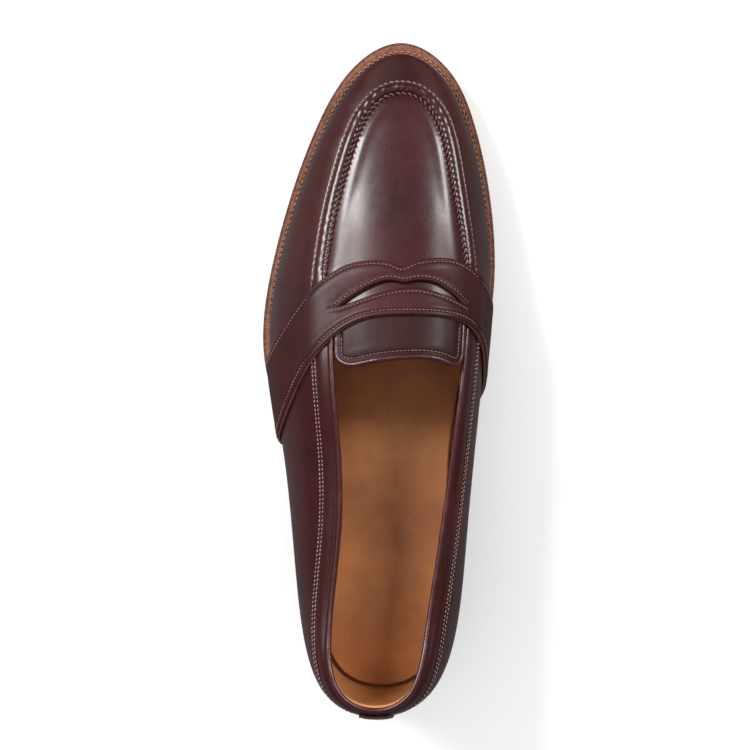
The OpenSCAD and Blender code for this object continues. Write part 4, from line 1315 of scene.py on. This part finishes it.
# Each cordovan's second colour is both its random dark mottle and the painted shade of its grooves
# and stitch holes.
OXBLOOD = paint(cordovan, "oxblood_cordovan", [46, 15, 16], [24, 8, 9], [60, 17, 20], 0.34, 0.5,
                0.24)
STRAP = paint(cordovan, "strap_cordovan", [47, 18, 18], [25, 10, 10], [62, 19, 22], 0.44, 0.05,
              0.2)
FLAP = paint(cordovan, "tongue_cordovan", [38, 15, 15], [22, 8, 9], [50, 17, 18], 0.46, 0.04,
             0.18)
BINDING = paint(cordovan, "binding_leather", [58, 19, 24], [30, 11, 14], [72, 21, 29], 0.34, 0.35,
                grain=1.6)
RAW = paint(raw_edge, "raw_leather_edge", [120, 72, 54], [66, 36, 28])
TAN = paint(lining, "tan_lining", [196, 138, 86], [160, 104, 60])
SOCK = paint(lining, "tan_sock", [190, 126, 72], [150, 92, 50], 0.5)
INSOLE = paint(lining, "insole_leather", [200, 156, 110], [168, 122, 80], 0.6)
# The welt's third colour is the painted shade of its wheel pits, stitch holes and row groove, and
# the dark of its side.
WELT = paint(welt_look, "welt_leather", [150, 100, 78], [100, 60, 46], [38, 19, 16])
EDGE = paint(burnished, "burnished_edge", [66, 34, 26], [40, 20, 16], (1, 1, 6))
LIFT = paint(burnished, "stacked_heel", [72, 38, 28], [42, 20, 16], (1, 1, 9))
BOTTOM = paint(sole_bottom, "natural_sole", [196, 150, 104], [160, 112, 70], [58, 28, 20],
               [70, 40, 25])
RUBBER = paint(grains, "black_rubber", [32, 31, 31], [20, 20, 20], 900, 0.7)
CORK = paint(grains, "cork", [178, 134, 88], [104, 66, 38], 500, 0.85)
BOARD = paint(grains, "stiffener_board", [206, 190, 160], [160, 140, 108], 1200, 0.85)
STEEL = paint(metal, "shank_steel", [190, 192, 195], [90, 70, 50], 0.28, (1, 6, 1))
BRASS = paint(metal, "nail_brass", [214, 168, 88], [90, 70, 50], 0.25, (1, 1, 6))
SEAM_THREAD = paint(thread, "seam_thread", [128, 80, 66], [70, 38, 32])
RIDGE_THREAD = paint(thread, "ridge_thread", [166, 120, 100], [96, 58, 48])
SADDLE_THREAD = paint(thread, "saddle_thread", [164, 116, 104], [92, 52, 46])
QUARTER_THREAD = paint(thread, "quarter_thread", [196, 158, 148], [128, 90, 84])
WELT_THREAD = paint(thread, "welt_yarn", [186, 134, 104], [112, 66, 48])


def finish(piece, slot, node, *looks):
    """Gives a piece its materials and hides the CAD node it stands for; slot is not used. Every
    piece rides on the shoe, apart from those of the flap, which only have their transform baked."""
    for look in looks:
        piece.data.materials.append(look)
    if node.startswith("tongue"):
        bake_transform(piece)
    else:
        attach(piece, "shoe")
    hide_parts(node)


def repaint(node, look):
    """Gives a material to a CAD node that stays as it is."""
    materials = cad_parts[node].data.materials
    materials.clear()
    materials.append(look)


JOIN = 0.005


def build_sole_unit():
    sole = plate("outsole_leather", EDGE_IN, 0.0, OUTSOLE_T, 0.0, taper=0.3, n=320, m=60)
    finish(sole, "sole_leather", "outsole", BOTTOM, EDGE, BOTTOM)
    ends = side_u(BREAST - 8, -1), side_u(BREAST - 8, 1)
    welt = build_welt("welt_strip", ends[0] + JOIN, ends[1] - JOIN, 1.0)
    rand = build_welt("heel_rand_strip", ends[1] + JOIN, LOOP_N + ends[0] - JOIN, 0.0)
    finish(welt, "welt_leather", "welt", WELT)
    finish(rand, "welt_leather", "heel_rand", WELT)
    for node, piece in build_heel():
        if node == "top_piece_rubber":
            finish(piece, "top_rubber", node, RUBBER, RUBBER, RUBBER)
        else:
            below = BOTTOM if node == "top_piece_leather" else LIFT
            finish(piece, "sole_leather", node, LIFT, LIFT, below)
    sock = plate("sock_lining_leather", SOCK_IN, 1.0, SOCK_TOP + 1.0, SOCK_TOP, bulge=0.05)
    finish(sock, "lining_leather", "sock_lining", SOCK, SOCK, SOCK)
    for node, look in (("insole", INSOLE), ("cork_filler", CORK), ("shank", STEEL),
                       ("heel_nails", BRASS), ("heel_counter", BOARD), ("toe_puff", BOARD)):
        repaint(node, look)


def build_upper():
    upper = "upper_leather"
    finish(build_vamp(), upper, "vamp", OXBLOOD, RAW)
    finish(build_apron(), upper, "apron", OXBLOOD, RAW)
    finish(build_quarter(-1, "quarter_lateral_leather"), upper, "quarter_lateral", OXBLOOD, RAW)
    finish(build_quarter(1, "quarter_medial_leather"), upper, "quarter_medial", OXBLOOD, RAW)
    finish(build_back_strip(), upper, "back_strip", OXBLOOD, OXBLOOD)
    finish(build_strap(), "strap_leather", "saddle_strap", STRAP, RAW)
    finish(build_vamp_lining(), "lining_leather", "vamp_lining", TAN, TAN)
    finish(build_apron_lining(), "lining_leather", "apron_lining", TAN, TAN)
    finish(build_quarter_lining(), "lining_leather", "quarter_lining", TAN, TAN)
    finish(build_topline_binding(), "binding_leather", "topline_binding", BINDING)


def build_threads():
    chunky, ridge = build_seam_threads()
    finish(chunky, "seam_thread", "apron_seam_thread", SEAM_THREAD)
    finish(ridge, "seam_thread", "vamp_ridge_thread", RIDGE_THREAD)
    for piece, part in zip(build_strap_threads(), ("front", "rear", "slot")):
        finish(piece, "saddle_thread", f"strap_{part}_thread", SADDLE_THREAD)
    finish(build_topline_threads(), "quarter_thread", "topline_thread", QUARTER_THREAD)
    finish(build_welt_thread(), "welt_yarn", "welt_thread", WELT_THREAD)


def build_flap():
    finish(build_tongue(), "upper_leather", "tongue", FLAP, RAW)
    finish(build_tongue_lining(), "lining_leather", "tongue_lining", TAN, TAN)
    finish(build_tongue_binding(), "binding_leather", "tongue_binding", BINDING)
    finish(build_tongue_thread(), "saddle_thread", "tongue_thread", SADDLE_THREAD)


# ---- Stage ----

CAMERA_AT = (0.0554, 0.1782, 0.98)
FILL = 0.95
AIM_Z = 0.035
SENSOR = 36
FLOOR = 4.0
SKY_LIGHT = 0.74
SKY_MIRRORED = 0.04
SOFTBOXES = (("softbox_left", (-0.95, 0.84, 1.05), (0.86, 0.38), 37),
             ("softbox_right", (0.86, 0.84, 1.05), (0.56, 0.36), 20))


def grey(level):
    return level, level, level, 1.0


def build_floor():
    """A pale floor, darker in reflections so that the leather keeps its depth."""
    mesh = bpy.data.meshes.new("floor")
    corners = [(x * FLOOR, y * FLOOR, 0) for x, y in ((-1, -1), (1, -1), (1, 1), (-1, 1))]
    mesh.from_pydata(corners, [], [(0, 1, 2, 3)])
    look = Look("pale_floor", Roughness=0.9)
    pale = look.mix(look.noise(3, 2), grey(0.86), grey(0.9))
    mirrored = look.node("ShaderNodeLightPath").outputs["Is Glossy Ray"]
    look.to("Base Color", look.mix(mirrored, pale, grey(0.12)))
    mesh.materials.append(look.mat)
    link("floor", mesh)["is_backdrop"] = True


def build_lights():
    """A pale sky that hardly shows in reflections, and two panels that face straight down."""
    world = bpy.data.worlds.new("studio")
    bpy.context.scene.world = world
    world.use_nodes = True
    tree = world.node_tree
    back = tree.nodes["Background"]
    back.inputs["Color"].default_value = grey(1.0)
    path = tree.nodes.new("ShaderNodeLightPath")
    dim = tree.nodes.new("ShaderNodeMapRange")
    dim.inputs["To Min"].default_value = SKY_LIGHT
    dim.inputs["To Max"].default_value = SKY_MIRRORED
    tree.links.new(path.outputs["Is Glossy Ray"], dim.inputs["Value"])
    tree.links.new(dim.outputs["Result"], back.inputs["Strength"])
    for name, place, size, power in SOFTBOXES:
        data = bpy.data.lights.new(name, "AREA")
        data.shape = "RECTANGLE"
        data.size, data.size_y = size
        data.energy = power
        link(name, data).location = place


def build_camera():
    """Looks down from where the photo was taken, over a point beside the shoe, and is turned
    only so far that the whole shoe is in the middle of the frame, toe up."""
    place = Vector(CAMERA_AT)
    low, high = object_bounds()
    middle = Vector(((low[0] + high[0]) / 2, (low[1] + high[1]) / 2, AIM_Z))
    back = (place - middle).normalized()
    right = Vector((0, 1, 0)).cross(back).normalized()
    turn = Matrix((right, back.cross(right), back)).transposed().to_quaternion()
    widest = 0.0
    for x in (low[0], high[0]):
        for y, z in ((low[1], high[2]), (high[1], 0.0)):
            seen = turn.inverted() @ (Vector((x, y, z)) - place)
            widest = max(widest, abs(seen.x / seen.z), abs(seen.y / seen.z))
    data = bpy.data.cameras.new("camera")
    data.sensor_width = SENSOR
    data.lens = SENSOR * FILL / (2 * widest)
    camera = link("camera", data)
    camera.location = place
    camera.rotation_euler = turn.to_euler()
    bpy.context.scene.camera = camera
    bpy.context.scene.view_settings.view_transform = "Standard"


build_sole_unit()
build_upper()
build_threads()
build_flap()
build_floor()
build_lights()
build_camera()
